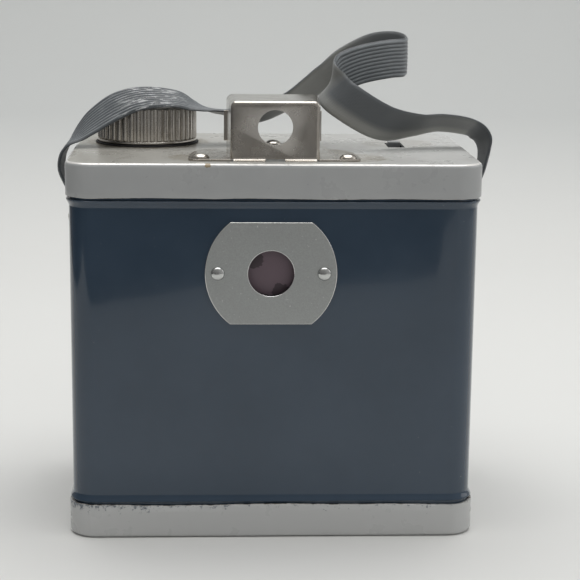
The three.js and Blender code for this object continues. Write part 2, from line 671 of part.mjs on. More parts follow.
const pivotAt = [SHUTTER.x, 0, SHUTTER.z];
add('shutter_plate', shutterPlate(), blackMetal);
add('shutter_sector', shutterSector(), springSteel);
add('shutter_pivot', turned('y', [
  [0, SHUTTER.y - 1.1], [1.3, SHUTTER.y - 1.1], [1.3, SHUTTER.y - 0.7], [0.8, SHUTTER.y - 0.7],
  [0.8, SHUTTER.y + 0.4], [1.5, SHUTTER.y + 0.4], [1.5, SHUTTER.y + 0.65], [0, SHUTTER.y + 0.65],
], pivotAt), brass);

/** The release slide: a flat bar under the cap with a tongue in the slot and a slanted cam slot. */
function releaseSlide() {
  const low = PLATE_HIGH + CARRIER_SHEET + 0.3;
  const thick = 0.5;
  const slope = 0.94;
  const nose = SHUTTER.y - 1.2;
  const outline = new THREE.Shape([
    new THREE.Vector2(10.6, nose), new THREE.Vector2(20.4, nose), new THREE.Vector2(20.9, 7.4),
    new THREE.Vector2(17.9, 7.4), new THREE.Vector2(17.9, -8.6), new THREE.Vector2(10.6, -9.2),
  ]);
  const middle = (y) => SHUTTER.x + slope * (y - SHUTTER.y - SHUTTER.thick / 2);
  const [near, far] = [SHUTTER.y - 0.45, SHUTTER.y + RELEASE.travel + 0.8];
  outline.holes.push(new THREE.Path([
    new THREE.Vector2(middle(near) - 1.15, near), new THREE.Vector2(middle(near) + 1.15, near),
    new THREE.Vector2(middle(far) + 1.15, far), new THREE.Vector2(middle(far) - 1.15, far),
  ]));
  const tongueBack = RELEASE.slotHigh - 0.3;
  const tongue = block(
    [RELEASE.x - 0.9, tongueBack - 2.2, low], [RELEASE.x + 0.9, tongueBack, HEIGHT + RELEASE.tongueTop],
  );
  return join(sheet('z', outline, low, thick), tongue);
}

/** The coil that returns the release slide, lying along it in front of its post. */
function releaseSpring() {
  const turns = 5;
  const [start, end] = [7.9, 16.4];
  const z = PLATE_HIGH + CARRIER_SHEET + 0.8;
  const stepsPerTurn = 8;
  const rings = [];
  for (let i = 0; i <= turns * stepsPerTurn; i += 1) {
    const angle = i / stepsPerTurn * 2 * Math.PI;
    const y = start + (end - start) * i / (turns * stepsPerTurn);
    const out = new THREE.Vector3(Math.cos(angle), 0, Math.sin(angle));
    const centre = new THREE.Vector3(RELEASE.x, y, z).addScaledVector(out, 0.42);
    rings.push([[0.12, 0], [0, 0.12], [-0.12, 0], [0, -0.12]].map(([r, along]) =>
      centre.clone().addScaledVector(out, r).add(new THREE.Vector3(0, along, 0))));
  }
  return skin(rings);
}

add('release_slide', releaseSlide(), springSteel);
add('release_spring', releaseSpring(), springSteel);

// Red frame-number window behind, held by its eyelet

const WINDOW_Y = -TUBE_FRONT;
const windowAt = [LENS_AXIS.x, 0, LENS_AXIS.z];
add('red_window_frame', turned('y', [
  [2.3, WINDOW_Y - 0.2], [3, WINDOW_Y - 0.2], [3, WINDOW_Y], [4.2, WINDOW_Y], [4, WINDOW_Y + 0.45],
  [2.5, WINDOW_Y + 0.45], [2.3, WINDOW_Y + 0.2], [2.3, WINDOW_Y - 0.2],
], windowAt, 20), nickel);
add('red_window', turned('y', [
  [0, WINDOW_Y - 0.75], [3.4, WINDOW_Y - 0.75], [3.4, WINDOW_Y - 0.42], [0, WINDOW_Y - 0.42],
], windowAt, 20), redGlass);

// Wrist ribbon, held by a riveted clamp on each narrow side

for (const [name, side] of [['left', -1], ['right', 1]]) {
  const wall = side * TUBE_WIDTH / 2;
  const { anchorY, anchorZ } = STRAP;
  const outline = plate(
    anchorY - CLAMP.half, anchorZ + CLAMP.low, anchorY + CLAMP.half, anchorZ + CLAMP.high,
  );
  outline.holes.push(disc(anchorY, anchorZ, 0.7));
  const start = side < 0 ? wall - CLAMP.thick : wall;
  add(`strap_clamp_${name}`, sheet('x', outline, start, CLAMP.thick, 8), nickel);
  const grip = CLAMP.thick + TUBE.sheet;
  const at = [0, anchorY, anchorZ];
  add(`strap_rivet_${name}`, rivet('x', wall + side * CLAMP.thick, side, 1.3, 0.62, grip, at), nickel);
}

// Stations along the ribbon: its middle, then the direction across it, from its near edge
const STRAP_ROUTE = [
  [-29.8, 0.4, 46.8, 0, 1, 0],
  [-30.7, 0.4, 49.2, 0.05, 1, 0],
  [-31.9, 0.4, 52.2, 0.07, 1, 0],
  [-31.7, 0.4, 54.3, 0.07, 1, 0],
  [-30.8, 0.3, 55.9, 0.05, 1, 0.05],
  [-28.9, 0.3, 57.7, -0.2, 0.93, 0.27],
  [-27.0, 0.3, 59.4, -0.3, 0.84, 0.45],
  [-23.6, 0.4, 61.65, -0.3, 0.78, 0.57],
  [-20.1, 0.8, 62.85, -0.1, 0.84, 0.52],
  [-14.6, 1.6, 62.8, 0.15, 0.93, 0.3],
  [-11.8, 2.2, 61.8, 0.2, 0.97, 0.05],
  [-9.2, 2.8, 60.95, 0.08, 0.99, -0.15],
  [-6.6, 3.3, 60.55, 0.03, 0.98, -0.2],
  [-2.0, 4.0, 60.4, 0.1, 0.85, -0.55],
  [2.3, 4.8, 62.0, 0.15, 0.85, -0.5],
  [5.8, 5.6, 64.1, 0.44, 0.78, -0.45],
  [8.3, 6.5, 65.8, 0.38, 0.7, -0.6],
  [11.7, 7.5, 67.7, 0.26, 0.32, -0.9],
  [16.6, 8.4, 69.7, 0.12, 0.05, -1],
  [19.6, 7.8, 69.9, 0.03, 0, -1],
  [21.0, 5.6, 69.35, 0, 0, -1],
  [20.5, 3.3, 69.05, 0, 0, -1],
  [18.2, 2.3, 68.9, 0, 0, -1],
  [13.7, 2.0, 68.0, -0.08, 0, -1],
  [10.7, 1.0, 66.8, -0.2, -0.1, -0.97],
  [9.0, -1.6, 65.5, -0.38, -0.25, -0.88],
  [9.6, -3.4, 64.1, -0.5, -0.12, -0.85],
  [11.3, -4.0, 62.8, -0.56, 0, -0.83],
  [15.7, -3.5, 60.2, -0.5, 0.18, -0.84],
  [18.1, -2.8, 59.4, -0.42, 0.36, -0.82],
  [22.3, -1.2, 59.2, -0.26, 0.7, -0.62],
  [26.1, -0.1, 59.5, -0.08, 0.85, -0.52],
  [29.9, 0.0, 59.0, -0.07, 0.86, -0.5],
  [31.6, 0.1, 58.3, -0.25, 0.88, -0.38],
  [32.4, 0.1, 57.3, -0.33, 0.9, -0.28],
  [32.8, 0.2, 55.9, -0.18, 0.96, -0.2],
  [32.8, 0.3, 54.2, -0.1, 0.98, -0.15],
  [32.3, 0.4, 51.8, -0.06, 1, -0.06],
  [31.0, 0.4, 49.0, -0.03, 1, 0],
  [29.8, 0.4, 46.8, 0, 1, 0],
];

/** A flat ribbon along the stations: each section is a thin bar with trimmed corners. */
function ribbon(stations, width, thick, steps) {
  const middle = new THREE.CatmullRomCurve3(
    stations.map(([x, y, z]) => new THREE.Vector3(x, y, z)), false, 'centripetal',
  );
  const across = new THREE.CatmullRomCurve3(
    stations.map(([, , , x, y, z]) => new THREE.Vector3(x, y, z)), false, 'centripetal',
  );
  const trim = 0.15;
  const [w, t] = [width / 2, thick / 2];
  const section = [
    [-w, -t + trim], [-w + trim, -t], [w - trim, -t], [w, -t + trim],
    [w, t - trim], [w - trim, t], [-w + trim, t], [-w, t - trim],
  ];
  const rings = [];
  for (let i = 0; i <= steps; i += 1) {
    const u = i / steps;
    const centre = middle.getPoint(u);
    const along = middle.getTangent(u);
    const side = across.getPoint(u).projectOnPlane(along).normalize();
    const face = along.clone().cross(side);
    rings.push(section.map(([s, f]) =>
      centre.clone().addScaledVector(side, s).addScaledVector(face, f)));
  }
  return skin(rings);
}

add('wrist_strap', ribbon(STRAP_ROUTE, STRAP.width, STRAP.thick, 62), greyRibbon);

export default camera;
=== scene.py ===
"""Looks of a subminiature box camera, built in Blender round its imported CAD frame.

Every length is in metres unless a comment says millimetres. The frame is the CAD frame: +Z is
up, the lens looks along -Y and +X is on the right as the front is seen. Each sub-assembly is a
class with its sizes as fields, and each finish is a small frozen class that builds one
procedural material.
"""

import json
import logging
import math
from collections.abc import Callable, Iterable, Sequence
from dataclasses import dataclass, field
from enum import Enum

import bmesh
import bpy
from mathutils import Matrix, Vector, noise

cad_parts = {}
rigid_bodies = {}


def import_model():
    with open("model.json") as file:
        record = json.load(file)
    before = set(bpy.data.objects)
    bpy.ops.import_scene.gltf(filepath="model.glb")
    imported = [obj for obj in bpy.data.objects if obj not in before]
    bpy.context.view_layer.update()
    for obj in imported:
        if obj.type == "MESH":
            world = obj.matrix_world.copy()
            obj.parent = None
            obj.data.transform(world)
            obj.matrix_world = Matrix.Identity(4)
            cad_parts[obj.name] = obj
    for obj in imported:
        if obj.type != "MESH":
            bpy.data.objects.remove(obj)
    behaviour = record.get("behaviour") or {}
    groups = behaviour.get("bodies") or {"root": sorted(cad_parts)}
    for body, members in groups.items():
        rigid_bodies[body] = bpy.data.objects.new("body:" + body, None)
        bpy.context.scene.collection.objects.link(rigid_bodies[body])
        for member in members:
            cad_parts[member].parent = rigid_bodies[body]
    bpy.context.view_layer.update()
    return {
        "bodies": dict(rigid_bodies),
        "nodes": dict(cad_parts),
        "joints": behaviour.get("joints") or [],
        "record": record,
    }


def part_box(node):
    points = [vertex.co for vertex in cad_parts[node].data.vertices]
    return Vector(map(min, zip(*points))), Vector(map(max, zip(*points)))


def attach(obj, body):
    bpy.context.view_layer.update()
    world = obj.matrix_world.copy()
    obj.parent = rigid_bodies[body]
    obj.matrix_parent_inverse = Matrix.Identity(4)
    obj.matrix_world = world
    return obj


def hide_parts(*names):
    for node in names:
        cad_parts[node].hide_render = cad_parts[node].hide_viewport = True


LOG = logging.getLogger("camera")
MM = 0.001
BODY = "camera_body"
# Steps along the front and back of a rounded ring, and along its two sides.
WIDE_STEPS = 18
DEEP_STEPS = 12
SMALLEST_CORNER = 0.05 * MM
# Square metres: a face larger than this is shaded with its own flat normal.
BROAD_FACE = 3.0e-6

Piece = bpy.types.Object
Socket = bpy.types.NodeSocket
Material = bpy.types.Material
Ring = list[Vector]
Colour = tuple[float, float, float]
Point2 = tuple[float, float]
Point3 = tuple[float, float, float]


class Axis(Enum):
    """The direction that a turned or punched piece stands along."""

    X = "x"
    Y = "y"
    Z = "z"

    def matrix(self) -> Matrix:
        """Returns the turn that carries +Z onto this axis."""
        turns = {
            Axis.X: Matrix.Rotation(math.radians(90), 4, "Y"),
            Axis.Y: Matrix.Rotation(math.radians(-90), 4, "X"),
            Axis.Z: Matrix.Identity(4),
        }
        return turns[self]


class WearAndLight(Enum):
    """Names of the point attributes that tell a finish where a piece is worn and where light or shade is
    painted on it.
    """

    # Chips and bright rims: partly bare metal, partly painted highlight.
    EDGE = "edge_wear_and_highlight"
    # Scuffs, polish and tarnish, plus painted highlight on the caps and painted shade on the ribbon.
    SCUFF_AND_PAINTED_LIGHT = "scuff_and_painted_light"
    RIB = "rib_height"
    # Painted sheen on the ribbon's plain back and painted highlight on its crests.
    FADE = "painted_sheen"


# ---------------------------------------------------------------- mesh making


def mesh_object(
    name: str, points: Iterable[Sequence[float]], faces: Iterable[Sequence[int]], sharp: float = 32.0
) -> Piece:
    """Makes a smooth-shaded mesh object at the origin.

    Args:
        name: The piece's name.
        points: Corner places in metres.
        faces: Corner numbers of each face.
        sharp: Edges that turn by more than this many degrees stay crisp.

    Returns:
        The new object, linked to the scene.
    """
    mesh = bpy.data.meshes.new(name)
    mesh.from_pydata([tuple(p) for p in points], [], [tuple(f) for f in faces])
    mesh.validate()
    piece = bpy.data.objects.new(name, mesh)
    bpy.context.scene.collection.objects.link(piece)
    tidy_mesh(piece, sharp)
    return piece


def tidy_mesh(piece: Piece, sharp: float = 32.0) -> None:
    """Merges doubled corners, turns faces outwards and shades the piece smooth.

    Args:
        piece: The object to tidy.
        sharp: Edges that turn by more than this many degrees stay crisp.
    """
    work = bmesh.new()
    work.from_mesh(piece.data)
    bmesh.ops.remove_doubles(work, verts=work.verts, dist=1e-7)
    bmesh.ops.recalc_face_normals(work, faces=work.faces)
    work.to_mesh(piece.data)
    work.free()
    piece.data.polygons.foreach_set("use_smooth", [True] * len(piece.data.polygons))
    piece.data.set_sharp_from_angle(angle=math.radians(sharp))
    piece.data.update()


def ring_faces(count: int, rings: int, looped: bool = False, ends: bool = False) -> list[list[int]]:
    """Corner numbers of the faces between a row of equal closed rings.

    Args:
        count: How many points each ring has.
        rings: How many rings there are.
        looped: Whether the last ring joins the first.
        ends: Whether the first and the last ring are filled.

    Returns:
        The corner numbers of each face.
    """
    faces = []
    for r in range(rings if looped else rings - 1):
        here, there = r * count, (r + 1) % rings * count
        for i in range(count):
            j = (i + 1) % count
            faces.append([here + i, here + j, there + j, there + i])
    if ends:
        faces.append(list(range(count))[::-1])
        faces.append([(rings - 1) * count + i for i in range(count)])
    return faces


def skin(name: str, rings: Sequence[Ring], looped: bool = False, sharp: float = 32.0) -> Piece:
    """Skins a row of equal closed rings.

    Args:
        name: The piece's name.
        rings: The rings in order, each with the same number of points.
        looped: Whether the last ring joins the first, as in a tube's wall. Else the ends are closed.
        sharp: Edges that turn by more than this many degrees stay crisp.

    Returns:
        The closed mesh object.
    """
    faces = ring_faces(len(rings[0]), len(rings), looped, not looped)
    return mesh_object(name, [p for ring in rings for p in ring], faces, sharp)


def rounded_ring(size: Vector, corner: float, inset: float, z: float, corner_steps: int = 10) -> Ring:
    """A rounded rectangle about the Z axis.

    Args:
        size: Outer width and depth before the inset.
        corner: Corner radius before the inset.
        inset: How far the ring is drawn in all round; negative swells it.
        z: Height of the ring.
        corner_steps: Steps round each corner.

    Returns:
        The ring's points, with extra points along the straight sides.
    """
    radius = max(corner - inset, SMALLEST_CORNER)
    arcs: list[Ring] = []
    for quarter, (sx, sy) in enumerate(((1, 1), (-1, 1), (-1, -1), (1, -1))):
        centre = Vector((sx * (size.x / 2 - corner), sy * (size.y / 2 - corner), z))
        arc = []
        for i in range(corner_steps + 1):
            angle = (quarter + i / corner_steps) * math.pi / 2
            arc.append(centre + radius * Vector((math.cos(angle), math.sin(angle), 0)))
        arcs.append(arc)
    ring: Ring = []
    for i, arc in enumerate(arcs):
        ring += arc
        start, end = arc[-1], arcs[(i + 1) % 4][0]
        steps = WIDE_STEPS if i % 2 == 0 else DEEP_STEPS
        ring += [start.lerp(end, s / steps) for s in range(1, steps)]
    return ring


def lathe(
    name: str, profile: Sequence[Point2], at: Vector, axis: Axis, steps: int = 64, sharp: float = 32.0
) -> Piece:
    """Turns a profile about an axis.

    Args:
        name: The piece's name.
        profile: Radius and place along the axis for each point, closed on itself or on the axis.
        at: A point that the axis passes through.
        axis: The direction of the axis.
        steps: Steps round the axis.
        sharp: Edges that turn by more than this many degrees stay crisp.

    Returns:
        The turned mesh object.
    """
    points: list[Vector] = []
    for radius, along in profile:
        for s in range(steps):
            angle = s / steps * 2 * math.pi
            points.append(Vector((radius * math.cos(angle), radius * math.sin(angle), along)))
    turn = axis.matrix()
    placed = [turn @ p + at for p in points]
    return mesh_object(name, placed, ring_faces(steps, len(profile)), sharp)


def drill(name: str, radius: float, at: Vector, axis: Axis, steps: int, reach: float = 2 * MM) -> Piece:
    """A round cutter that reaches equally far to both sides of a point on an axis."""
    return lathe(name, [(0, -reach), (radius, -reach), (radius, reach), (0, reach)], at, axis, steps)


def prism(
    name: str, outline: Sequence[Point2], low: float, high: float, axis: Axis, sharp: float = 32.0
) -> Piece:
    """Cuts a flat piece from sheet.

    Args:
        name: The piece's name.
        outline: Places across the axis: (y, z) for X, (x, z) for Y and (x, y) for Z.
        low: Where the sheet starts along the axis.
        high: Where it ends.
        axis: The direction through the sheet.
        sharp: Edges that turn by more than this many degrees stay crisp.

    Returns:
        The flat mesh object.
    """
    spread: dict[Axis, Callable[[float, float, float], Point3]] = {
        Axis.X: lambda a, b, t: (t, a, b),
        Axis.Y: lambda a, b, t: (a, t, b),
        Axis.Z: lambda a, b, t: (a, b, t),
    }
    rings = [[Vector(spread[axis](a, b, t)) for a, b in outline] for t in (low, high)]
    return skin(name, rings, sharp=sharp)


def arc_points(centre: Point2, radius: float, start: float, end: float, steps: int) -> list[Point2]:
    """Points along an arc, from start to end degrees, both included."""
    angles = [math.radians(start + (end - start) * i / steps) for i in range(steps + 1)]
    return [(centre[0] + radius * math.cos(a), centre[1] + radius * math.sin(a)) for a in angles]


def node_box(node: str) -> tuple[Vector, Vector, Vector]:
    """The lowest corner, the highest corner and the middle of a CAD node."""
    low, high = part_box(node)
    return low, high, (low + high) / 2


def applied(piece: Piece, sharp: float | None = 32.0) -> Piece:
    """Turns a piece's modifiers into plain mesh and removes them.

    Args:
        piece: The object to bake.
        sharp: Edges that turn by more than this many degrees are made crisp; None keeps the normals.

    Returns:
        The same object with a plain mesh.
    """
    graph = bpy.context.evaluated_depsgraph_get()
    mesh = bpy.data.meshes.new_from_object(piece.evaluated_get(graph))
    piece.modifiers.clear()
    piece.data = mesh
    if sharp is not None:
        mesh.polygons.foreach_set("use_smooth", [True] * len(mesh.polygons))
        mesh.set_sharp_from_angle(angle=math.radians(sharp))
    return piece


def flatten_shading(piece: Piece, sharp: float = 60.0) -> Piece:
    """Shades a piece so that its broad faces read flat and only its rounded edges turn."""
    piece.data.polygons.foreach_set("use_smooth", [True] * len(piece.data.polygons))
    piece.data.set_sharp_from_angle(angle=math.radians(sharp))
    weighted = piece.modifiers.new("broad_faces_flat", "WEIGHTED_NORMAL")
    weighted.keep_sharp = True
    weighted.weight = 100
    piece = applied(piece, None)
    mesh = piece.data
    normals = [tuple(corner.vector) for corner in mesh.corner_normals]
    for face in mesh.polygons:
        if face.area > BROAD_FACE:
            for loop in face.loop_indices:
                normals[loop] = tuple(face.normal)
    mesh.normals_split_custom_set(normals)
    return piece


def punch(piece: Piece, cutters: Sequence[Piece]) -> Piece:
    """Cuts holes in a piece and removes the cutters."""
    for cutter in cutters:
        cut = piece.modifiers.new("punch", "BOOLEAN")
        cut.operation = "DIFFERENCE"
        cut.solver = "EXACT"
        cut.object = cutter
    applied(piece)
    for cutter in cutters:
        bpy.data.objects.remove(cutter)
    return piece


def soften(piece: Piece, width: float, segments: int = 2, angle: float = 40.0) -> Piece:
    """Rounds a piece's crisp edges.

    Args:
        piece: The object to soften.
        width: Width of the rounding.
        segments: Steps across it.
        angle: Only edges that turn by more than this many degrees are rounded.

    Returns:
        The same object, with the rounding in its mesh.
    """
    bevel = piece.modifiers.new("soft_edges", "BEVEL")
    bevel.width = width
    bevel.segments = segments
    bevel.limit_method = "ANGLE"
    bevel.angle_limit = math.radians(angle)
    bevel.use_clamp_overlap = True
    return flatten_shading(applied(piece, sharp=60.0))


def paint_points(piece: Piece, name: WearAndLight, amount: Callable[[Vector], float]) -> None:
    """Stores a point attribute of wear and painted light on a piece.

    Args:
        piece: The object to mark.
        name: Which attribute to store.
        amount: Gives 0, untouched, to 1, strongest, for a point.
    """
    layer = piece.data.attributes.new(name.value, "FLOAT", "POINT")
    layer.data.foreach_set("value", [amount(v.co) for v in piece.data.vertices])


def dress(piece: Piece, material: Material) -> Piece:
    """Gives a piece one material."""
    piece.data.materials.clear()
    piece.data.materials.append(material)
    return piece


def place(piece: Piece, body: str, replaces: Sequence[str]) -> None:
    """Makes a finished piece ride on a CAD body and stand for CAD nodes.

    Args:
        piece: The finished piece.
        body: The CAD body that it rides on.
        replaces: The CAD nodes that it stands for.
    """
    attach(piece, body)
    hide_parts(*replaces)
    LOG.info("%s: %d faces on %s", piece.name, len(piece.data.polygons), body)


# ---------------------------------------------------------------- geometry node recipes


class Recipe:
    """A Geometry Nodes tree with named inputs, baked into plain mesh once its values are set."""

    def __init__(self, name: str) -> None:
        """Starts an empty tree with its geometry input and output.

        Args:
            name: Name of the tree.
        """
        self.tree = bpy.data.node_groups.new(name, "GeometryNodeTree")
        self.sockets: dict[str, str] = {}
        self.tree.interface.new_socket("Geometry", in_out="INPUT", socket_type="NodeSocketGeometry")
        self.tree.interface.new_socket("Geometry", in_out="OUTPUT", socket_type="NodeSocketGeometry")
        self.start = self.tree.nodes.new("NodeGroupInput")
        self.end = self.tree.nodes.new("NodeGroupOutput")

    def ask(self, name: str, kind: str = "NodeSocketFloat") -> Socket:
        """Adds a named input and returns its socket inside the tree."""
        made = self.tree.interface.new_socket(name, in_out="INPUT", socket_type=kind)
        self.sockets[name] = made.identifier
        return next(s for s in self.start.outputs if s.identifier == made.identifier)

    def node(self, kind: str, **settings: object) -> bpy.types.Node:
        """Adds a node and sets its properties."""
        made = self.tree.nodes.new(kind)
        for key, value in settings.items():
            setattr(made, key, value)
        return made

    def link(self, source: Socket, target: Socket) -> None:
        """Joins two sockets."""
        self.tree.links.new(source, target)

    def finish(self, geometry: Socket, material: Material) -> None:
        """Ends the tree with Realize Instances and Set Material."""
        realize = self.node("GeometryNodeRealizeInstances")
        colour = self.node("GeometryNodeSetMaterial")
        colour.inputs["Material"].default_value = material
        self.link(geometry, realize.inputs[0])
        self.link(realize.outputs[0], colour.inputs["Geometry"])
        self.link(colour.outputs[0], self.end.inputs[0])

    def bake(self, host: Piece, values: dict[str, object], sharp: float = 32.0) -> Piece:
        """Runs the tree on a host object and leaves plain mesh.

        Args:
            host: The object that carries the tree's starting geometry.
            values: A value for each named input.
            sharp: Edges that turn by more than this many degrees stay crisp.

        Returns:
            The host, holding the result.
        """
        modifier = host.modifiers.new(self.tree.name, "NODES")
        modifier.node_group = self.tree
        for name, value in values.items():
            modifier[self.sockets[name]] = value
        host.update_tag()
        bpy.context.view_layer.update()
        return applied(host, sharp)


def ring_of(recipe_name: str, material: Material) -> Recipe:
    """A recipe that stands copies of one piece in a ring, all facing outwards.

    Args:
        recipe_name: Name of the tree.
        material: The finish of the copies.

    Returns:
        The recipe, with the inputs Piece, Count, Radius and Centre.
    """
    recipe = Recipe(recipe_name)
    piece = recipe.ask("Piece", "NodeSocketObject")
    count = recipe.ask("Count", "NodeSocketInt")
    radius = recipe.ask("Radius")
    centre = recipe.ask("Centre", "NodeSocketVector")
    info = recipe.node("GeometryNodeObjectInfo")
    circle = recipe.node("GeometryNodeMeshCircle")
    where = recipe.node("GeometryNodeInputPosition")
    facing = recipe.node("FunctionNodeAlignRotationToVector", axis="X")
    copies = recipe.node("GeometryNodeInstanceOnPoints")
    shift = recipe.node("GeometryNodeTransform")
    recipe.link(piece, info.inputs["Object"])
    recipe.link(count, circle.inputs["Vertices"])
    recipe.link(radius, circle.inputs["Radius"])
    recipe.link(where.outputs[0], facing.inputs["Vector"])
    recipe.link(circle.outputs[0], copies.inputs["Points"])
    recipe.link(info.outputs["Geometry"], copies.inputs["Instance"])
    recipe.link(facing.outputs[0], copies.inputs["Rotation"])
    recipe.link(copies.outputs[0], shift.inputs["Geometry"])
    recipe.link(centre, shift.inputs["Translation"])
    recipe.finish(shift.outputs[0], material)
    return recipe


def rivet_row(recipe_name: str, material: Material) -> Recipe:
    """A recipe that sets one rivet at every point of the host mesh.

    Args:
        recipe_name: Name of the tree.
        material: The finish of the rivets.

    Returns:
        The recipe, with the inputs Rivet, Size and Turn.
    """
    recipe = Recipe(recipe_name)
    rivet = recipe.ask("Rivet", "NodeSocketObject")
    size = recipe.ask("Size")
    turn = recipe.ask("Turn", "NodeSocketVector")
    info = recipe.node("GeometryNodeObjectInfo")
    euler = recipe.node("FunctionNodeEulerToRotation")
    copies = recipe.node("GeometryNodeInstanceOnPoints")
    recipe.link(rivet, info.inputs["Object"])
    recipe.link(turn, euler.inputs[0])
    recipe.link(recipe.start.outputs[0], copies.inputs["Points"])
    recipe.link(info.outputs["Geometry"], copies.inputs["Instance"])
    recipe.link(euler.outputs[0], copies.inputs["Rotation"])
    recipe.link(size, copies.inputs["Scale"])
    recipe.finish(copies.outputs[0], material)
    return recipe


# ---------------------------------------------------------------- finishes


class Shades:
    """Short ways to build a material's node tree."""

    def __init__(self, name: str) -> None:
        """Starts a material with one Principled shader and Object coordinates.

        Args:
            name: Name of the material.
        """
        self.material = bpy.data.materials.new(name)
        self.material.use_nodes = True
        self.tree = self.material.node_tree
        self.shader = self.tree.nodes["Principled BSDF"]
        self.place = self.tree.nodes.new("ShaderNodeTexCoord").outputs["Object"]

    def set(self, **values: float | Colour) -> None:
        """Sets constant values on the shader's own sockets, with _ for a space in their names."""
        for key, value in values.items():
            socket = self.shader.inputs[key.replace("_", " ")]
            socket.default_value = (*value, 1.0) if isinstance(value, tuple) else value

    def node(self, kind: str, **inputs: object) -> bpy.types.Node:
        """Adds a node. A socket is linked, any other value is set on the named input."""
        made = self.tree.nodes.new(kind)
        for key, value in inputs.items():
            target = made.inputs[key]
            if isinstance(value, Socket):
                self.tree.links.new(value, target)
            else:
                target.default_value = value
        return made

    def stretch(self, scale: Sequence[float], coords: Socket | None = None) -> Socket:
        """Stretches a pattern's coordinates."""
        source = self.place if coords is None else coords
        return self.node("ShaderNodeMapping", Vector=source, Scale=tuple(scale)).outputs[0]

    def grain(
        self, scale: float, detail: float = 3.0, rough: float = 0.55,
        coords: Socket | None = None,
    ) -> Socket:
        """A noise pattern from 0 to 1, with scale in repeats per metre."""
        source = self.place if coords is None else coords
        made = self.node("ShaderNodeTexNoise", Vector=source, Scale=scale, Detail=detail, Roughness=rough)
        return made.outputs["Fac"]

    def span(
        self, source: Socket, low: float, high: float, to_low: float = 0.0, to_high: float = 1.0
    ) -> Socket:
        """Maps a stretch of one value onto another, clamped."""
        made = self.node("ShaderNodeMapRange", Value=source)
        for index, value in enumerate((low, high, to_low, to_high), start=1):
            made.inputs[index].default_value = value
        return made.outputs[0]

    def math(self, operation: str, first: object, second: object) -> Socket:
        """One step of arithmetic on sockets or numbers."""
        made = self.tree.nodes.new("ShaderNodeMath")
        made.operation = operation
        for index, value in enumerate((first, second)):
            if isinstance(value, Socket):
                self.tree.links.new(value, made.inputs[index])
            else:
                made.inputs[index].default_value = value
        return made.outputs[0]

    def mix(self, amount: Socket, first: object, second: object) -> Socket:
        """Mixes two colours, each a socket or a colour."""
        made = self.tree.nodes.new("ShaderNodeMix")
        made.data_type = "RGBA"
        self.tree.links.new(amount, made.inputs["Factor"])
        for key, value in (("A", first), ("B", second)):
            target = next(s for s in made.inputs if s.name == key and s.type == "RGBA")
            if isinstance(value, Socket):
                self.tree.links.new(value, target)
            else:
                target.default_value = (*value, 1.0)
        return next(s for s in made.outputs if s.type == "RGBA")

    def wear_and_light(self, name: WearAndLight) -> Socket:
        """Reads a point attribute of wear and painted light."""
        made = self.tree.nodes.new("ShaderNodeAttribute")
        made.attribute_name = name.value
        return made.outputs["Fac"]

    def spot(
        self, centre: Sequence[float], reach: float, ragged: float,
        axes: Sequence[float] = (1.0, 1.0, 1.0),
    ) -> Socket:
        """A round patch that is 1 at its centre and 0 outside.

        Args:
            centre: The patch's centre in metres.
            reach: Its radius in metres.
            ragged: How far its border wanders in metres.
            axes: 1 for each axis that counts and 0 for each that does not.

        Returns:
            The patch's strength.
        """
        gap = self.tree.nodes.new("ShaderNodeVectorMath")
        gap.operation = "DISTANCE"
        self.tree.links.new(self.stretch(axes), gap.inputs[0])
        gap.inputs[1].default_value = tuple(c * a for c, a in zip(centre, axes))
        sway = self.math("MULTIPLY", self.math("SUBTRACT", self.grain(1400.0, 4.0, 0.7), 0.5), ragged * 4)
        away = self.math("ADD", gap.outputs["Value"], sway)
        return self.span(away, reach * 0.92, reach, 1.0, 0.0)

    def upward(self) -> Socket:
        """1 on faces that look straight up, and 0 on the others."""
        normal = self.tree.nodes.new("ShaderNodeNewGeometry").outputs["Normal"]
        return self.span(self.node("ShaderNodeSeparateXYZ", Vector=normal).outputs[2], 0.85, 0.98)

    def colour(self, source: Socket) -> None:
        """Feeds the base colour."""
        self.tree.links.new(source, self.shader.inputs["Base Color"])

    def roughness(self, source: Socket) -> None:
        """Feeds the roughness."""
        self.tree.links.new(source, self.shader.inputs["Roughness"])

    def metal(self, source: Socket) -> None:
        """Feeds the metallic value."""
        self.tree.links.new(source, self.shader.inputs["Metallic"])

    def bump(self, height: Socket, depth: float) -> None:
        """Adds a bump of the given depth in metres on top of any before it."""
        made = self.node("ShaderNodeBump", Height=height, Distance=depth, Strength=1.0)
        into = self.shader.inputs["Normal"]
        if into.is_linked:
            self.tree.links.new(into.links[0].from_socket, made.inputs["Normal"])
        self.tree.links.new(made.outputs[0], into)


def scaled(colour: Colour, share: float) -> Colour:
    """A colour made darker or lighter, no brighter than white."""
    return tuple(min(1.0, c * share) for c in colour)


@dataclass(frozen=True)
class GlossEnamel:
    """Stoved blue-black enamel: deep gloss with a faint orange peel, dust and small flecks."""

    deep: Colour = (0.018, 0.036, 0.060)
    lifted: Colour = (0.025, 0.045, 0.072)
    dust: Colour = (0.16, 0.17, 0.17)
    gloss: float = 0.07

    def build(self) -> Material:
        """Returns the material."""
        s = Shades("gloss_enamel")
        cloud = s.span(s.grain(60.0, 4.0), 0.35, 0.65)
        tone = s.mix(cloud, self.deep, self.lifted)
        fleck = s.span(s.grain(2600.0, 2.0, 0.5), 0.765, 0.80)
        s.colour(s.mix(fleck, tone, self.dust))
        s.roughness(s.span(s.grain(240.0, 5.0, 0.65), 0.3, 0.8, self.gloss, self.gloss + 0.09))
        s.bump(s.grain(24.0, 1.0), 0.00012)
        s.bump(s.grain(1300.0, 2.0), 0.0000012)
        s.set(IOR=1.48, Coat_Weight=0.4, Coat_Roughness=0.04)
        return s.material


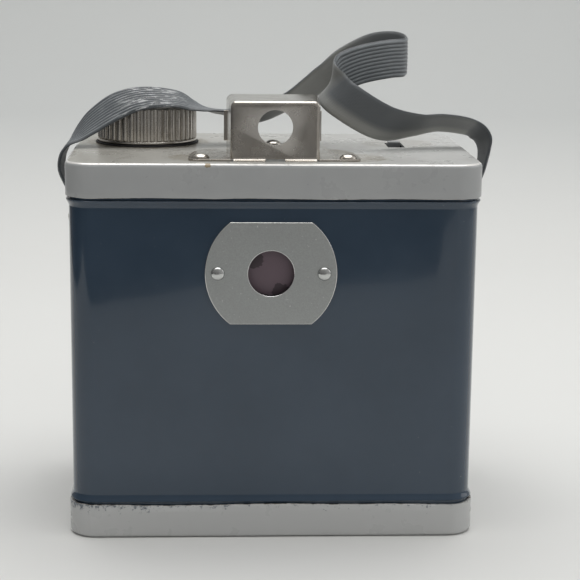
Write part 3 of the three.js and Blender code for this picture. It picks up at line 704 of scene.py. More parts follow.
@dataclass(frozen=True)
class SilverPaint:
    """Satin silver-grey paint on tinplate, speckled, chipped at its rims down to brown metal."""

    base: Colour = (0.335, 0.343, 0.346)
    dusty: Colour = (0.375, 0.383, 0.382)
    # Lighter paint for the lower cap: painted bounce light from the floor.
    lower: Colour = (0.47, 0.475, 0.47)
    # Lighter tone of the up-facing faces: painted light from above.
    upper: Colour = (0.47, 0.47, 0.452)
    chip: Colour = (0.10, 0.085, 0.07)
    # Colour that the top darkens towards on the left.
    dust: Colour = (0.22, 0.207, 0.172)
    # Colour of the darker places on the top: dirt together with painted shade.
    dirt_and_shade: Colour = (0.17, 0.145, 0.10)
    bare: Colour = (0.13, 0.145, 0.165)
    # Bright colour of the rim line and the bend line: painted highlight, on bare metal at the rim.
    rubbed: Colour = (0.68, 0.67, 0.64)
    brassy: Colour = (0.24, 0.19, 0.12)
    speck: Colour = (0.17, 0.165, 0.15)
    stain: Colour = (0.24, 0.225, 0.19)
    # The one chip that goes down to brass.
    brass_chip: Point3 = (-0.0095, -0.0196, 0.0553)
    brass_reach: float = 0.0004
    brass_ragged: float = 0.0003
    # Darker places on the top, dirt together with painted shade round the knob, the finder and its ears,
    # the rear rivet and under the strap: centre, reach and strength.
    grime_and_shade: tuple[tuple[Point3, float, float], ...] = (
        ((-0.0191, 0.007, 0.0555), 0.0096, 0.9), ((0.0118, -0.0125, 0.0555), 0.0048, 0.7),
        ((-0.0112, -0.0125, 0.0555), 0.0042, 0.55), ((0.0004, 0.0018, 0.0555), 0.0030, 0.6),
        ((0.0200, 0.0060, 0.0555), 0.0060, 0.35), ((0.0030, -0.0020, 0.0555), 0.0065, 0.3),
    )

    def build(self) -> Material:
        """Returns the material."""
        s = Shades("silver_paint")
        apart = s.node("ShaderNodeSeparateXYZ", Vector=s.place)
        across, up = apart.outputs[0], apart.outputs[2]
        tone = self.on_top(s, self.ground(s, up), across)
        # The lower cap is rubbed bare just above its bend, more on the left.
        low_rim = s.math("MULTIPLY", s.span(up, 0.0026, 0.0052), s.span(across, -0.027, -0.004, 0.34, 0.20))
        low_rim = s.math("MULTIPLY", low_rim, s.span(up, 0.010, 0.0101, 1.0, 0.0))
        rubbed = s.span(s.math("ADD", s.grain(1500.0, 6.0, 0.8), low_rim), 0.74, 0.79)
        tone = s.mix(s.math("MULTIPLY", rubbed, s.span(low_rim, 0.0, 0.05)), tone, self.bare)
        # Edges chip in small ragged places. Each cap's rim gets a bright line of rubbed-bare metal with a
        # painted highlight, and the upper cap's bend gets a painted highlight line.
        worn_and_lit_edge = s.wear_and_light(WearAndLight.EDGE)
        ragged_edge = s.math("ADD", s.grain(620.0, 5.0, 0.7), s.math("MULTIPLY", worn_and_lit_edge, 0.5))
        chipped = s.span(ragged_edge, 0.99, 1.02)
        streak = s.span(s.grain(260.0, 4.0, 0.6), 0.36, 0.5, 0.25, 0.9)
        line = s.math("MULTIPLY", s.span(worn_and_lit_edge, 0.6, 0.95), streak)
        tone = s.mix(line, tone, self.rubbed)
        # Painted highlight along the upper cap's bend.
        broken = s.span(s.grain(420.0, 4.0, 0.7), 0.3, 0.5, 0.45, 1.0)
        crest = s.math("MULTIPLY", s.wear_and_light(WearAndLight.SCUFF_AND_PAINTED_LIGHT), broken)
        tone = s.mix(crest, tone, self.rubbed)
        tone = s.mix(s.spot(self.brass_chip, self.brass_reach, self.brass_ragged), tone, self.brassy)
        s.colour(s.mix(chipped, tone, self.chip))
        s.metal(s.math("MULTIPLY", s.math("MAXIMUM", line, crest), 0.25))
        s.roughness(s.span(s.grain(210.0, 4.0), 0.3, 0.7, 0.24, 0.38))
        s.bump(s.grain(1700.0, 3.0), 0.0000035)
        s.bump(s.math("MULTIPLY", s.math("MAXIMUM", chipped, rubbed), -1.0), 0.00001)
        s.set(Specular_IOR_Level=0.5, Coat_Weight=0.12, Coat_Roughness=0.12)
        return s.material

    def ground(self, s: Shades, up: Socket) -> Socket:
        """The clouded paint, painted lighter on the lower cap as painted bounce light from the floor, with
        specks and faint stains.
        """
        cloud = s.span(s.grain(95.0, 5.0, 0.6), 0.3, 0.7)
        tone = s.mix(cloud, self.base, self.dusty)
        # The lower cap painted lighter: painted bounce light from the floor.
        tone = s.mix(s.span(up, 0.010, 0.030, 0.85, 0.0), tone, self.lower)
        speck = s.span(s.grain(1500.0, 3.0, 0.7), 0.76, 0.80)
        stain = s.span(s.grain(300.0, 5.0, 0.7), 0.66, 0.84, 0.0, 0.12)
        return s.mix(stain, s.mix(speck, tone, self.speck), self.stain)

    def on_top(self, s: Shades, tone: Socket, across: Socket) -> Socket:
        """The flat top: painted lighter as painted light from above, darker towards the left, with darker
        patches where dirt and painted shade lie round things standing on it.
        """
        flat = s.upward()
        # Up-facing faces painted lighter: painted light from above.
        tone = s.mix(s.math("MULTIPLY", flat, 0.75), tone, self.upper)
        # Up-facing faces darker towards the left.
        dust = s.math("MULTIPLY", flat, s.span(across, -0.030, 0.022, 0.78, 0.04))
        tone = s.mix(dust, tone, self.dust)
        # Darker patches round the things on the top: dirt together with painted shade.
        for centre, reach, amount in self.grime_and_shade:
            patch = s.math("MULTIPLY", s.spot(centre, reach, reach * 0.16), flat)
            blotch = s.span(s.grain(520.0, 5.0, 0.75), 0.3, 0.62, 0.25 * amount, amount)
            tone = s.mix(s.math("MULTIPLY", patch, blotch), tone, self.dirt_and_shade)
        return tone


@dataclass(frozen=True)
class SatinAluminium:
    """Rubbed aluminium sheet with a fine even tooth, and a bright cut edge of bare metal with a painted
    highlight.
    """

    base: Colour = (0.190, 0.206, 0.203)
    glint: Colour = (0.60, 0.60, 0.58)
    polished: Colour = (0.56, 0.57, 0.56)
    # Colour of the marked edges: bare metal with a painted highlight.
    cut: Colour = (0.85, 0.85, 0.84)

    def build(self) -> Material:
        """Returns the material."""
        s = Shades("satin_aluminium")
        tooth = s.grain(5200.0, 2.0, 0.6)
        tone = s.mix(s.span(tooth, 0.3, 0.7), scaled(self.base, 0.84), scaled(self.base, 1.26))
        cloud = s.span(s.grain(180.0, 4.0), 0.35, 0.7, 0.0, 0.35)
        tone = s.mix(cloud, tone, scaled(self.base, 0.86))
        tone = s.mix(s.span(s.grain(2300.0, 2.0, 0.5), 0.72, 0.77), tone, self.glint)
        hair = s.span(s.grain(1.0, 3.0, 0.6, s.stretch((2600.0, 1.0, 700.0))), 0.62, 0.74, 0.0, 0.5)
        tone = s.mix(hair, tone, scaled(self.base, 1.6))
        tone = s.mix(s.wear_and_light(WearAndLight.SCUFF_AND_PAINTED_LIGHT), tone, self.polished)
        # Marked edges painted bright: bare cut metal with a painted highlight.
        s.colour(s.mix(s.wear_and_light(WearAndLight.EDGE), tone, self.cut))
        bare = s.math("MAXIMUM", s.wear_and_light(WearAndLight.EDGE), s.wear_and_light(WearAndLight.SCUFF_AND_PAINTED_LIGHT))
        s.metal(s.span(bare, 0.0, 1.0, 0.55, 1.0))
        s.roughness(s.span(bare, 0.0, 1.0, 0.46, 0.2))
        s.bump(tooth, 0.000004)
        s.bump(s.grain(700.0, 4.0), 0.000002)
        return s.material


@dataclass(frozen=True)
class PlatedMetal:
    """A bright plated or bare metal with hairline scratches, tarnish and handling marks."""

    name: str
    base: Colour
    tarnish: Colour
    roughness: float
    tarnish_amount: float = 0.35
    film: Colour = (0.36, 0.325, 0.28)
    scratch_depth: float = 0.0000016

    def build(self) -> Material:
        """Returns the material."""
        s = Shades(self.name)
        blotch = s.span(s.grain(260.0, 5.0, 0.65), 0.42, 0.72, 0.0, self.tarnish_amount)
        edge = s.wear_and_light(WearAndLight.EDGE)
        smear = s.span(s.grain(420.0, 5.0, 0.7), 0.25, 0.6, 0.35, 0.95)
        dull = s.math("MULTIPLY", s.wear_and_light(WearAndLight.SCUFF_AND_PAINTED_LIGHT), smear)
        tone = s.mix(dull, s.mix(blotch, self.base, self.tarnish), self.film)
        # Marked edges painted brighter: a painted highlight round the finder's sight hole.
        s.colour(s.mix(edge, tone, scaled(self.base, 1.5)))
        s.metal(s.span(blotch, 0.0, 1.0, 1.0, 0.8))
        across = s.grain(520.0, 4.0, 0.7, s.stretch((1.0, 14.0, 1.0)))
        upward = s.grain(480.0, 4.0, 0.7, s.stretch((9.0, 1.0, 1.0)))
        polish = s.span(s.grain(330.0, 4.0), 0.3, 0.75, self.roughness, self.roughness + 0.14)
        s.roughness(s.math("ADD", polish, s.math("MULTIPLY", dull, 0.12)))
        s.bump(across, self.scratch_depth)
        s.bump(upward, self.scratch_depth)
        return s.material


@dataclass(frozen=True)
class MattCoat:
    """A dull dark coat, such as black paint, fibre or stained wood, with its own grain."""

    name: str
    base: Colour
    other: Colour
    roughness: float
    grain_scale: float
    stretch: Point3 = (1.0, 1.0, 1.0)
    depth: float = 0.00001

    def build(self) -> Material:
        """Returns the material."""
        s = Shades(self.name)
        grain = s.grain(self.grain_scale, 5.0, 0.6, s.stretch(self.stretch))
        s.colour(s.mix(s.span(grain, 0.35, 0.68), self.base, self.other))
        s.roughness(s.span(grain, 0.3, 0.7, self.roughness, min(1.0, self.roughness + 0.15)))
        s.bump(grain, self.depth)
        return s.material


@dataclass(frozen=True)
class TintedGlass:
    """Polished glass with a body colour, faint dust and a hard surface gloss."""

    name: str
    base: Colour
    transmission: float
    roughness: float = 0.03
    coat: float = 0.6
    shine: float = 0.5
    lint: Colour = (0.30, 0.28, 0.27)
    # Darker patches painted in its face as painted reflections of dark shapes before it: centre and reach.
    painted_reflections: tuple[tuple[Point3, float], ...] = ()

    def build(self) -> Material:
        """Returns the material."""
        s = Shades(self.name)
        dust = s.span(s.grain(3200.0, 3.0, 0.7), 0.66, 0.8, 0.0, 0.35)
        tone = s.mix(dust, self.base, self.lint)
        for centre, reach in self.painted_reflections:
            # Painted reflections of dark shapes before the glass.
            cloud = s.spot(centre, reach, 0.0003, (1.0, 0.0, 1.0))
            tone = s.mix(cloud, tone, scaled(self.base, 0.42))
        s.colour(tone)
        s.roughness(s.span(dust, 0.0, 1.0, self.roughness, self.roughness + 0.25))
        s.bump(s.grain(900.0, 2.0), 0.0000004)
        s.set(Transmission_Weight=self.transmission, IOR=1.52, Coat_Weight=self.coat, Coat_Roughness=0.02)
        s.set(Specular_IOR_Level=self.shine)
        return s.material


@dataclass(frozen=True)
class RibbedBraid:
    """Charcoal braid: corded on one face with painted shade in its grooves and painted highlight on its
    crests, smoother on the back with a painted sheen, and paler where it is rubbed.
    """

    # Groove and cord colours: the grooves' darker tone is painted shade.
    groove: Colour = (0.030, 0.036, 0.041)
    cord: Colour = (0.074, 0.086, 0.094)
    # Painted highlight colour on the cords' crests; the weave is mixed towards it too.
    light: Colour = (0.25, 0.27, 0.28)
    back: Colour = (0.074, 0.082, 0.089)
    # Colour of the painted sheen on the plain back.
    pale: Colour = (0.33, 0.33, 0.305)
    # Lighter cord colour where the loop catches the light: painted light.
    lit_cord: Colour = (0.185, 0.20, 0.21)
    bare: Colour = (0.62, 0.63, 0.63)
    picks_per_metre: float = 2600.0
    ends_per_metre: float = 4200.0

    def build(self) -> Material:
        """Returns the material."""
        s = Shades("ribbed_braid")
        coords = s.tree.nodes.new("ShaderNodeTexCoord").outputs["UV"]
        apart = s.node("ShaderNodeSeparateXYZ", Vector=coords)
        along, across = apart.outputs[0], apart.outputs[1]
        wave = s.math("SINE", s.math("MULTIPLY", along, self.picks_per_metre * 2 * math.pi), 0.0)
        cross = s.math("SINE", s.math("MULTIPLY", across, self.ends_per_metre * 2 * math.pi), 0.0)
        weave = s.span(s.math("MULTIPLY", wave, cross), -1.0, 1.0)
        rib = s.wear_and_light(WearAndLight.RIB)
        smooth = s.span(rib, -1.0, -0.4, 1.0, 0.0)
        # Grooves painted darker than the cords: painted shade in the grooves.
        tone = s.mix(s.span(rib, 0.15, 0.8), self.groove, self.cord)
        # Cords painted lighter, mostly along the loop, where it catches the light: painted light.
        faint = s.math("MULTIPLY", s.wear_and_light(WearAndLight.FADE), s.span(rib, 0.0, 0.7, 0.2, 0.75))
        tone = s.mix(faint, tone, self.lit_cord)
        # Painted shade over the knob: the cords there are darkened towards the grooves' colour.
        tone = s.mix(s.math("MULTIPLY", s.wear_and_light(WearAndLight.SCUFF_AND_PAINTED_LIGHT), 0.75), tone, self.groove)
        # Painted highlight on the cords' crests, strongest along the loop.
        fuzz = s.span(s.grain(1.0, 5.0, 0.7, s.stretch((500.0, 2600.0, 1.0), coords)), 0.40, 0.62)
        crest_highlight_share = s.span(s.wear_and_light(WearAndLight.FADE), 0.0, 1.0, 0.42, 1.0)
        crest = s.math("MULTIPLY", s.math("MULTIPLY", s.span(rib, 0.72, 1.0), fuzz), crest_highlight_share)
        tone = s.mix(crest, tone, self.light)
        thread = s.grain(1.0, 5.0, 0.75, s.stretch((260.0, 5200.0, 1.0), coords))
        thread = s.span(thread, 0.35, 0.7, 0.75, 1.0)
        tone = s.mix(smooth, tone, self.back)
        # Painted sheen on the plain back, where it reflects the light and the bright cap top.
        painted_sheen = s.math("MULTIPLY", s.math("MULTIPLY", s.wear_and_light(WearAndLight.FADE), thread), smooth)
        tone = s.mix(painted_sheen, tone, self.pale)
        tone = s.mix(s.math("MULTIPLY", weave, 0.13), tone, self.light)
        streak = s.grain(1.0, 4.0, 0.75, s.stretch((420.0, 3600.0, 1.0), coords))
        rubbed = s.math("MULTIPLY", s.wear_and_light(WearAndLight.SCUFF_AND_PAINTED_LIGHT), s.span(streak, 0.53, 0.61))
        s.colour(s.mix(rubbed, tone, self.bare))
        s.roughness(s.span(rib, 0.0, 1.0, 0.42, 0.5))
        s.bump(weave, 0.000012)
        s.bump(s.grain(1800.0, 4.0), 0.00001)
        s.set(Sheen_Weight=0.25, Sheen_Roughness=0.4, Specular_IOR_Level=0.55)
        return s.material


@dataclass(frozen=True)
class StudioCard:
    """Plain matt floor and backdrop paper, painted darker where it rises as painted shade."""

    base: Colour = (0.648, 0.650, 0.634)
    shaded_rise: Colour = (0.505, 0.516, 0.508)

    def build(self) -> Material:
        """Returns the material."""
        s = Shades("studio_card")
        tone = s.mix(s.span(s.grain(8.0, 2.0), 0.3, 0.7), self.base, scaled(self.base, 0.99))
        height = s.node("ShaderNodeSeparateXYZ", Vector=s.place).outputs[2]
        # The rising wall painted darker: painted shade.
        s.colour(s.mix(s.span(height, 0.0, 0.032), tone, self.shaded_rise))
        s.set(Roughness=0.9, Specular_IOR_Level=0.1)
        return s.material


NICKEL = PlatedMetal("nickel_plate", (0.63, 0.605, 0.565), (0.36, 0.32, 0.26), 0.13)
BRASS = PlatedMetal("turned_brass", (0.60, 0.44, 0.20), (0.30, 0.20, 0.09), 0.28)
STEEL = PlatedMetal("spring_steel", (0.42, 0.43, 0.45), (0.20, 0.18, 0.16), 0.24)
BLACK_PAINT = MattCoat("black_paint", (0.012, 0.012, 0.014), (0.022, 0.022, 0.024), 0.55, 1500.0)
BLACK_FIBRE = MattCoat("black_fibre", (0.010, 0.010, 0.012), (0.03, 0.028, 0.028), 0.75, 2400.0)
BLACK_WOOD = MattCoat(
    "stained_wood", (0.030, 0.020, 0.014), (0.075, 0.052, 0.034), 0.5, 700.0, (6.0, 6.0, 0.4), 0.00003
)
LENS_GLASS = TintedGlass(
    "lens_glass", (0.150, 0.110, 0.130), 0.08, 0.38, 0.0, 0.3,
    painted_reflections=(((-0.00275, 0.0, 0.0414), 0.00125), ((0.0010, 0.0, 0.0366), 0.00145)),
)
RED_GLASS = TintedGlass("red_glass", (0.34, 0.012, 0.010), 0.35)


@dataclass
class FinishShelf:
    """Builds each finish once and hands it out by its record slot."""

    made: dict[str, Material] = field(default_factory=dict)

    def build(self) -> "FinishShelf":
        """Builds every finish. Returns the shelf itself."""
        recipes = {
            "enamel": GlossEnamel(), "silver_paint": SilverPaint(), "satin_aluminium": SatinAluminium(),
            "nickel": NICKEL, "brass": BRASS, "spring_steel": STEEL, "black_metal": BLACK_PAINT,
            "black_fibre": BLACK_FIBRE, "black_wood": BLACK_WOOD, "lens_glass": LENS_GLASS,
            "red_glass": RED_GLASS, "grey_ribbon": RibbedBraid(),
        }
        self.made = {slot: recipe.build() for slot, recipe in recipes.items()}
        return self

    def __getitem__(self, slot: str) -> Material:
        """Returns the material of a record slot."""
        return self.made[slot]


# ---------------------------------------------------------------- sub-assemblies


@dataclass
class Shell:
    """The enamelled tube and the two pressed caps."""

    finishes: FinishShelf
    sheet: float = 0.4 * MM
    cap_corner: float = 4.0 * MM
    tube_corner: float = 3.5 * MM
    bend: float = 0.6 * MM
    bead_out: float = 0.41 * MM
    bead_tall: float = 1.15 * MM
    clearance: float = 0.1 * MM
    slot_centre: float = 19.4 * MM
    slot_width: float = 2.6 * MM
    slot_span: tuple[float, float] = (0.8 * MM, 6.6 * MM)
    shaft_hole: float = 1.6 * MM
    lens_hole: float = 3.5 * MM
    window_hole: float = 3.05 * MM
    # Plain tube beside each bead, kept flat so that the bead's swell ends there.
    bead_hold: float = 0.06 * MM
    # How far the flat of a cap is drawn in for each of its inner rings, and their extra corner.
    flat_insets: tuple[float, ...] = (9.0 * MM, 5.0 * MM, 2.2 * MM)
    flat_corner: float = 6.0 * MM
    lip_up: float = 0.24 * MM
    lip_in: float = 0.04 * MM
    rim_wave: float = 0.22 * MM
    waves_per_metre: float = 90.0
    # Half a bead from the cap's rim towards the body: share of its height, share of its swell.
    bead_form: tuple[Point2, ...] = (
        (0.0, 0.0), (0.05, 0.55), (0.11, 0.86), (0.18, 0.98), (0.26, 0.96), (0.36, 0.83), (0.5, 0.58),
        (0.66, 0.33), (0.82, 0.13), (0.93, 0.03), (1.0, 0.0),
    )

    def __post_init__(self) -> None:
        """Reads the shells' places from the frame."""
        low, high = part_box("top_cap")
        self.cap_size = high - low
        self.height = high.z
        self.skirt = self.cap_size.z
        inward = 2 * (self.sheet + self.clearance)
        self.tube_size = self.cap_size - Vector((inward, inward, 0))
        tube_low, tube_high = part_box("body_tube")
        self.tube_span = (tube_low.z, tube_high.z)

    def wavy(self, ring: Ring, seed: float) -> Ring:
        """Moves a ring's points up and down a little, as a worn pressed rim does.

        Args:
            ring: The ring to move.
            seed: Where the pattern is read, so that each rim differs.

        Returns:
            The moved ring.
        """
        rate, fine = self.waves_per_metre, self.waves_per_metre * 7
        moved = []
        for p in ring:
            sway = noise.noise(Vector((p.x * rate + seed, p.y * rate, seed)))
            nick = noise.noise(Vector((p.x * fine - seed, p.y * fine, 2 * seed)))
            moved.append(p + Vector((0, 0, self.rim_wave * (sway + 0.35 * nick))))
        return moved

    def cap(self, name: str, flat: float, rim: float, seed: float) -> Piece:
        """Presses one cap.

        Args:
            name: The piece's name.
            flat: Height of its flat outside.
            rim: Height of its rim.
            seed: Seed of the rim's waves.

        Returns:
            The cap as one closed thin shell.
        """
        up = math.copysign(1.0, rim - flat)
        rings: list[Ring] = []
        for inset in self.flat_insets:
            rings.append(rounded_ring(self.cap_size, self.cap_corner + self.flat_corner, inset, flat))
        for i in range(9):
            angle = i / 8 * math.pi / 2
            inset = self.bend * (1 - math.sin(angle))
            z = flat + up * self.bend * (1 - math.cos(angle))
            rings.append(rounded_ring(self.cap_size, self.cap_corner, inset, z))
        for share in (0.35, 0.7, 0.93):
            z = flat + up * (self.bend + (self.skirt - self.bend) * share)
            rings.append(rounded_ring(self.cap_size, self.cap_corner, 0.0, z))
        for inset in (self.lip_in, self.sheet):
            lip = rounded_ring(self.cap_size, self.cap_corner, inset, rim - up * self.lip_up)
            rings.append(self.wavy(lip, seed))
        inner_bend = self.bend - self.sheet
        for i in range(5):
            angle = (1 - i / 4) * math.pi / 2
            inset = self.sheet + inner_bend * (1 - math.sin(angle))
            z = flat + up * (self.sheet + inner_bend * (1 - math.cos(angle)))
            rings.append(rounded_ring(self.cap_size, self.cap_corner, inset, z))
        cap = skin(name, rings, sharp=50.0)
        half = self.cap_size.xy / 2

        # Lengths inside these two are in millimetres.
        def edge_marks(p: Vector) -> float:
            """Half marked over the bend and fully marked at the rim: the chips, and the rim's bright line
            of bare metal with a painted highlight.
            """
            out = max(abs(p.x) - half.x, abs(p.y) - half.y) / MM
            from_flat = abs(p.z - flat) / MM
            from_rim = abs(p.z - rim) / MM
            corner = max(0.0, 1 - from_flat / 0.9) * max(0.0, 1 + (out + 0.3) / 1.4)
            return min(1.0, 0.45 * corner + (1.0 if from_rim < 0.32 else 0.0))

        def crest(p: Vector) -> float:
            """A painted highlight line where the upper cap's flat turns over."""
            from_flat = abs(p.z - flat) / MM
            return 1.0 if flat > rim and 0.02 < from_flat < 0.2 else 0.0

        paint_points(cap, WearAndLight.EDGE, edge_marks)
        paint_points(cap, WearAndLight.SCUFF_AND_PAINTED_LIGHT, crest)
        return cap

    def build(self) -> None:
        """Makes the tube and both caps."""
        self.build_tube()
        self.build_top()
        lower = self.cap("bottom_cap_shell", 0.0, self.skirt, 3.7)
        place(dress(lower, self.finishes["silver_paint"]), "bottom_cap", ["bottom_cap"])

    def build_tube(self) -> None:
        """Makes the enamelled tube with its beads, pierced for lens and window."""
        low, high = self.tube_span
        lower, upper = self.skirt + self.clearance, self.height - self.skirt - self.clearance
        flare = [(up * self.bead_tall, out * self.bead_out) for up, out in self.bead_form]
        profile: list[Point2] = [(low, 0.0)]
        profile += [(lower + up, out) for up, out in flare]
        start, end = lower + self.bead_tall + self.bead_hold, upper - self.bead_tall - self.bead_hold
        profile += [(start + (end - start) * i / 14, 0.0) for i in range(15)]
        profile += [(upper - up, out) for up, out in reversed(flare)]
        profile.append((high, 0.0))
        rings = [rounded_ring(self.tube_size, self.tube_corner, -out, z) for z, out in profile]
        for z, out in reversed(profile):
            rings.append(rounded_ring(self.tube_size, self.tube_corner, self.sheet - out, z))
        tube = skin("body_tube_shell", rings, looped=True, sharp=50.0)
        middle = node_box("lens")[2]
        reach = self.tube_size.y / 2
        front, back = Vector((middle.x, -reach, middle.z)), Vector((middle.x, reach, middle.z))
        punch(tube, [
            drill("lens_cut", self.lens_hole, front, Axis.Y, 48),
            drill("window_cut", self.window_hole, back, Axis.Y, 48),
        ])
        place(dress(tube, self.finishes["enamel"]), BODY, ["body_tube"])

    def build_top(self) -> None:
        """Makes the top cap with its slot and shaft hole."""
        top = self.cap("top_cap_shell", self.height, self.height - self.skirt, 11.3)
        shaft = node_box("winding_knob")[2]
        slide_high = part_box("release_slide")[1]
        left, right = self.slot_centre - self.slot_width / 2, self.slot_centre + self.slot_width / 2
        near, far = self.slot_span
        outline = [(left, near), (right, near), (right, far), (left, far)]
        punch(top, [
            prism("slot_cut", outline, self.height - 2 * MM, slide_high.z + MM, Axis.Z),
            drill("shaft_cut", self.shaft_hole, Vector((shaft.x, shaft.y, self.height)), Axis.Z, 32),
        ])
        place(dress(top, self.finishes["silver_paint"]), BODY, ["top_cap"])


@dataclass
class LensMount:
    """The lens plate with its flats, and the glass behind it."""

    finishes: FinishShelf
    radius: float = 9.5 * MM
    hole: float = 3.3 * MM
    sag: float = 0.12 * MM

    def build(self) -> None:
        """Makes the plate and the glass."""
        low, high, middle = node_box("lens_plate")
        flat = (high.z - low.z) / 2
        bow = math.degrees(math.asin(flat / self.radius))
        centre = (middle.x, middle.z)
        outline = arc_points(centre, self.radius, -bow, bow, 28)
        outline += arc_points(centre, self.radius, 180 - bow, 180 + bow, 28)
        plate = prism("lens_plate_disc", outline, low.y, high.y, Axis.Y)
        punch(plate, [drill("hole_cut", self.hole, middle, Axis.Y, 72)])
        soften(plate, 0.12 * MM, 3)

        def rim(p: Vector) -> float:
            """Bright at the cut edges of the plate and of its hole: bare metal with a painted highlight."""
            away = math.hypot(p.x - middle.x, p.z - middle.z)
            near = max(self.radius - away, 0.0)
            near = min(near, flat - abs(p.z - middle.z), abs(away - self.hole))
            return 1.0 if near < 0.1 * MM else (0.25 if near < 0.14 * MM else 0.0)

        paint_points(plate, WearAndLight.EDGE, rim)
        place(dress(plate, self.finishes["satin_aluminium"]), BODY, ["lens_plate"])
        self.build_glass()

    def build_glass(self) -> None:
        """Turns the meniscus: its front stands out in the middle and its back is hollow."""
        low, high, middle = node_box("lens")
        radius = (high.x - low.x) / 2
        front = [(radius * i / 12, low.y + self.sag * (i / 12) ** 2) for i in range(13)]
        back = [(radius * i / 8, high.y - self.sag * (1 - (i / 8) ** 2)) for i in range(8, -1, -1)]
        glass = lathe("lens_glass", front + back, Vector((middle.x, 0, middle.z)), Axis.Y, 64, 50.0)
        place(dress(glass, self.finishes["lens_glass"]), BODY, ["lens"])


@dataclass
class Finder:
    """The drawn finder hood with its riveted ears and curled feet."""

    finishes: FinishShelf
    wall: float = 0.35 * MM
    flare: float = 0.5 * MM
    centre: float = 0.05 * MM
    front_width: float = 12.8 * MM
    sight: float = 2.5 * MM
    sight_up: float = 4.85 * MM
    hem_low: float = 1.4 * MM
    hem_drop: float = 2.4 * MM
    ear_thick: float = 0.3 * MM
    ear_reach: float = 12.4 * MM
    # The pressing's own sizes: bend of the front plate's edge and corners outside and inside.
    bend: float = 0.55 * MM
    corner: float = 0.9 * MM
    inner_corner: float = 0.62 * MM
    # The ear's outline: how far its front edge is set out, how far its round front corner reaches
    # sideways and back, and how far its round back corner reaches sideways.
    ear_lead: float = 0.1 * MM
    ear_corner: float = 1.6 * MM
    ear_drop: float = 1.5 * MM
    ear_slant: float = 3.6 * MM
    # Each foot's near end on the left and on the right of the middle, and its length.
    foot_left: float = -6.0 * MM
    foot_right: float = 1.4 * MM
    foot_long: float = 4.6 * MM
    # Where the walls end, and how far the feet stand out before the front plate.
    rear: float = -5.5 * MM
    foot_out: float = 0.5 * MM

    def hood_ring(
        self, y: float, width: float, top: float, low: float, inset: float, corner: float
    ) -> Ring:
        """One section of the hood across the line of sight.

        Args:
            y: Where the section stands.
            width: Outer width there.
            top: Outer top there.
            low: Height where the section ends below.
            inset: How far the section is drawn in.
            corner: Radius of the two upper corners.

        Returns:
            The section's points.
        """
        half = width / 2 - inset
        ridge = top - inset
        points = [(-half, low), (-half / 2, low), (half / 2, low), (half, low)]
        points += [(half, low + (ridge - corner - low) * t / 5) for t in range(1, 5)]
        points += arc_points((half - corner, ridge - corner), corner, 0, 90, 8)
        points += [(half - corner - (2 * half - 2 * corner) * t / 8, ridge) for t in range(1, 8)]
        points += arc_points((corner - half, ridge - corner), corner, 90, 180, 8)
        points += [(-half, low + (ridge - corner - low) * (5 - t) / 5) for t in range(1, 5)]
        return [Vector((self.centre + x, y, z)) for x, z in points]

    def hood(self, base: float, front: float, rear: float, top: float) -> Piece:
        """Draws the hood from sheet: an outer form less an inner one.

        Args:
            base: Height of the cap that it stands on.
            front: Where its front plate faces.
            rear: Where its walls end.
            top: Height of its roof.

        Returns:
            The hood as one closed shell.
        """
        bend, run = self.bend, rear - front - self.bend
        low = base + self.ear_thick
        outer = []
        for i in range(9):
            angle = i / 8 * math.pi / 2
            drawn = bend * (1 - math.sin(angle))
            y = front + bend * (1 - math.cos(angle))
            width, corner = self.front_width - 2 * drawn, self.corner - drawn * 0.6
            outer.append(self.hood_ring(y, width, top - drawn, low, 0, corner))
        for t in (0.25, 0.5, 0.75, 1.0):
            width = self.front_width + 2 * self.flare * t
            outer.append(self.hood_ring(front + bend + run * t, width, top, low, 0, self.corner))
        hood = skin("finder_hood_shell", outer, sharp=50.0)
        inner = []
        inner_bend = bend - self.wall
        for i in range(5):
            angle = i / 4 * math.pi / 2
            drawn = inner_bend * (1 - math.sin(angle))
            y = front + self.wall + inner_bend * (1 - math.cos(angle))
            width = self.front_width - 2 * drawn
            inner.append(self.hood_ring(y, width, top - drawn, low - MM, self.wall, self.inner_corner))
        for t in (0.5, 1.15):
            y, width = front + bend + run * t, self.front_width + 2 * self.flare * t
            inner.append(self.hood_ring(y, width, top, low - MM, self.wall, self.inner_corner))
        inside = skin("inside_cut", inner, sharp=50.0)
        eye = Vector((self.centre, front, base + self.sight_up))
        punch(hood, [inside, drill("sight_cut", self.sight, eye, Axis.Y, 72, MM)])
        soften(hood, 0.05 * MM, 2, 50.0)
        return hood

    def ear(self, side: int, base: float, front: float, back: float) -> Piece:
        """Cuts one riveted ear, which meets the hood's wall."""
        wall = self.centre + side * (self.front_width / 2 - 0.15 * MM)
        reach = side * self.ear_reach
        lead, turn = front - self.ear_lead, reach - side * self.ear_corner
        drop = front + self.ear_drop
        outline = [(wall, lead), (turn, lead)]
        for i in range(1, 9):
            t = i / 8
            x = (1 - t) ** 2 * turn + (1 - (1 - t) ** 2) * reach
            y = (1 - t * t) * lead + t * t * drop
            outline.append((x, y))
        start, knee, end = (reach, drop), (reach, back), (reach - side * self.ear_slant, back)
        for i in range(1, 15):
            t = i / 14
            outline.append(tuple(
                (1 - t) ** 2 * start[k] + 2 * t * (1 - t) * knee[k] + t * t * end[k] for k in range(2)
            ))
        outline.append((wall, back))
        if side < 0:
            outline.reverse()
        ear = prism("finder_ear", outline, base, base + self.ear_thick, Axis.Z)
        return soften(ear, 0.06 * MM)

    def foot(self, side: int, base: float, front: float) -> Piece:
        """Curls one short foot at the bottom of the front plate."""
        start = self.centre + (self.foot_left if side < 0 else self.foot_right)
        inside = front + 0.2 * MM
        curl = arc_points((front - self.foot_out, base + 0.62 * MM), self.foot_out, -88, 0, 8)
        outline = [(inside, base), (front - 0.48 * MM, base), *curl, (inside, base + 0.75 * MM)]
        foot = prism("finder_foot", outline, start, start + self.foot_long, Axis.X)
        return soften(foot, 0.04 * MM, 2, 50.0)

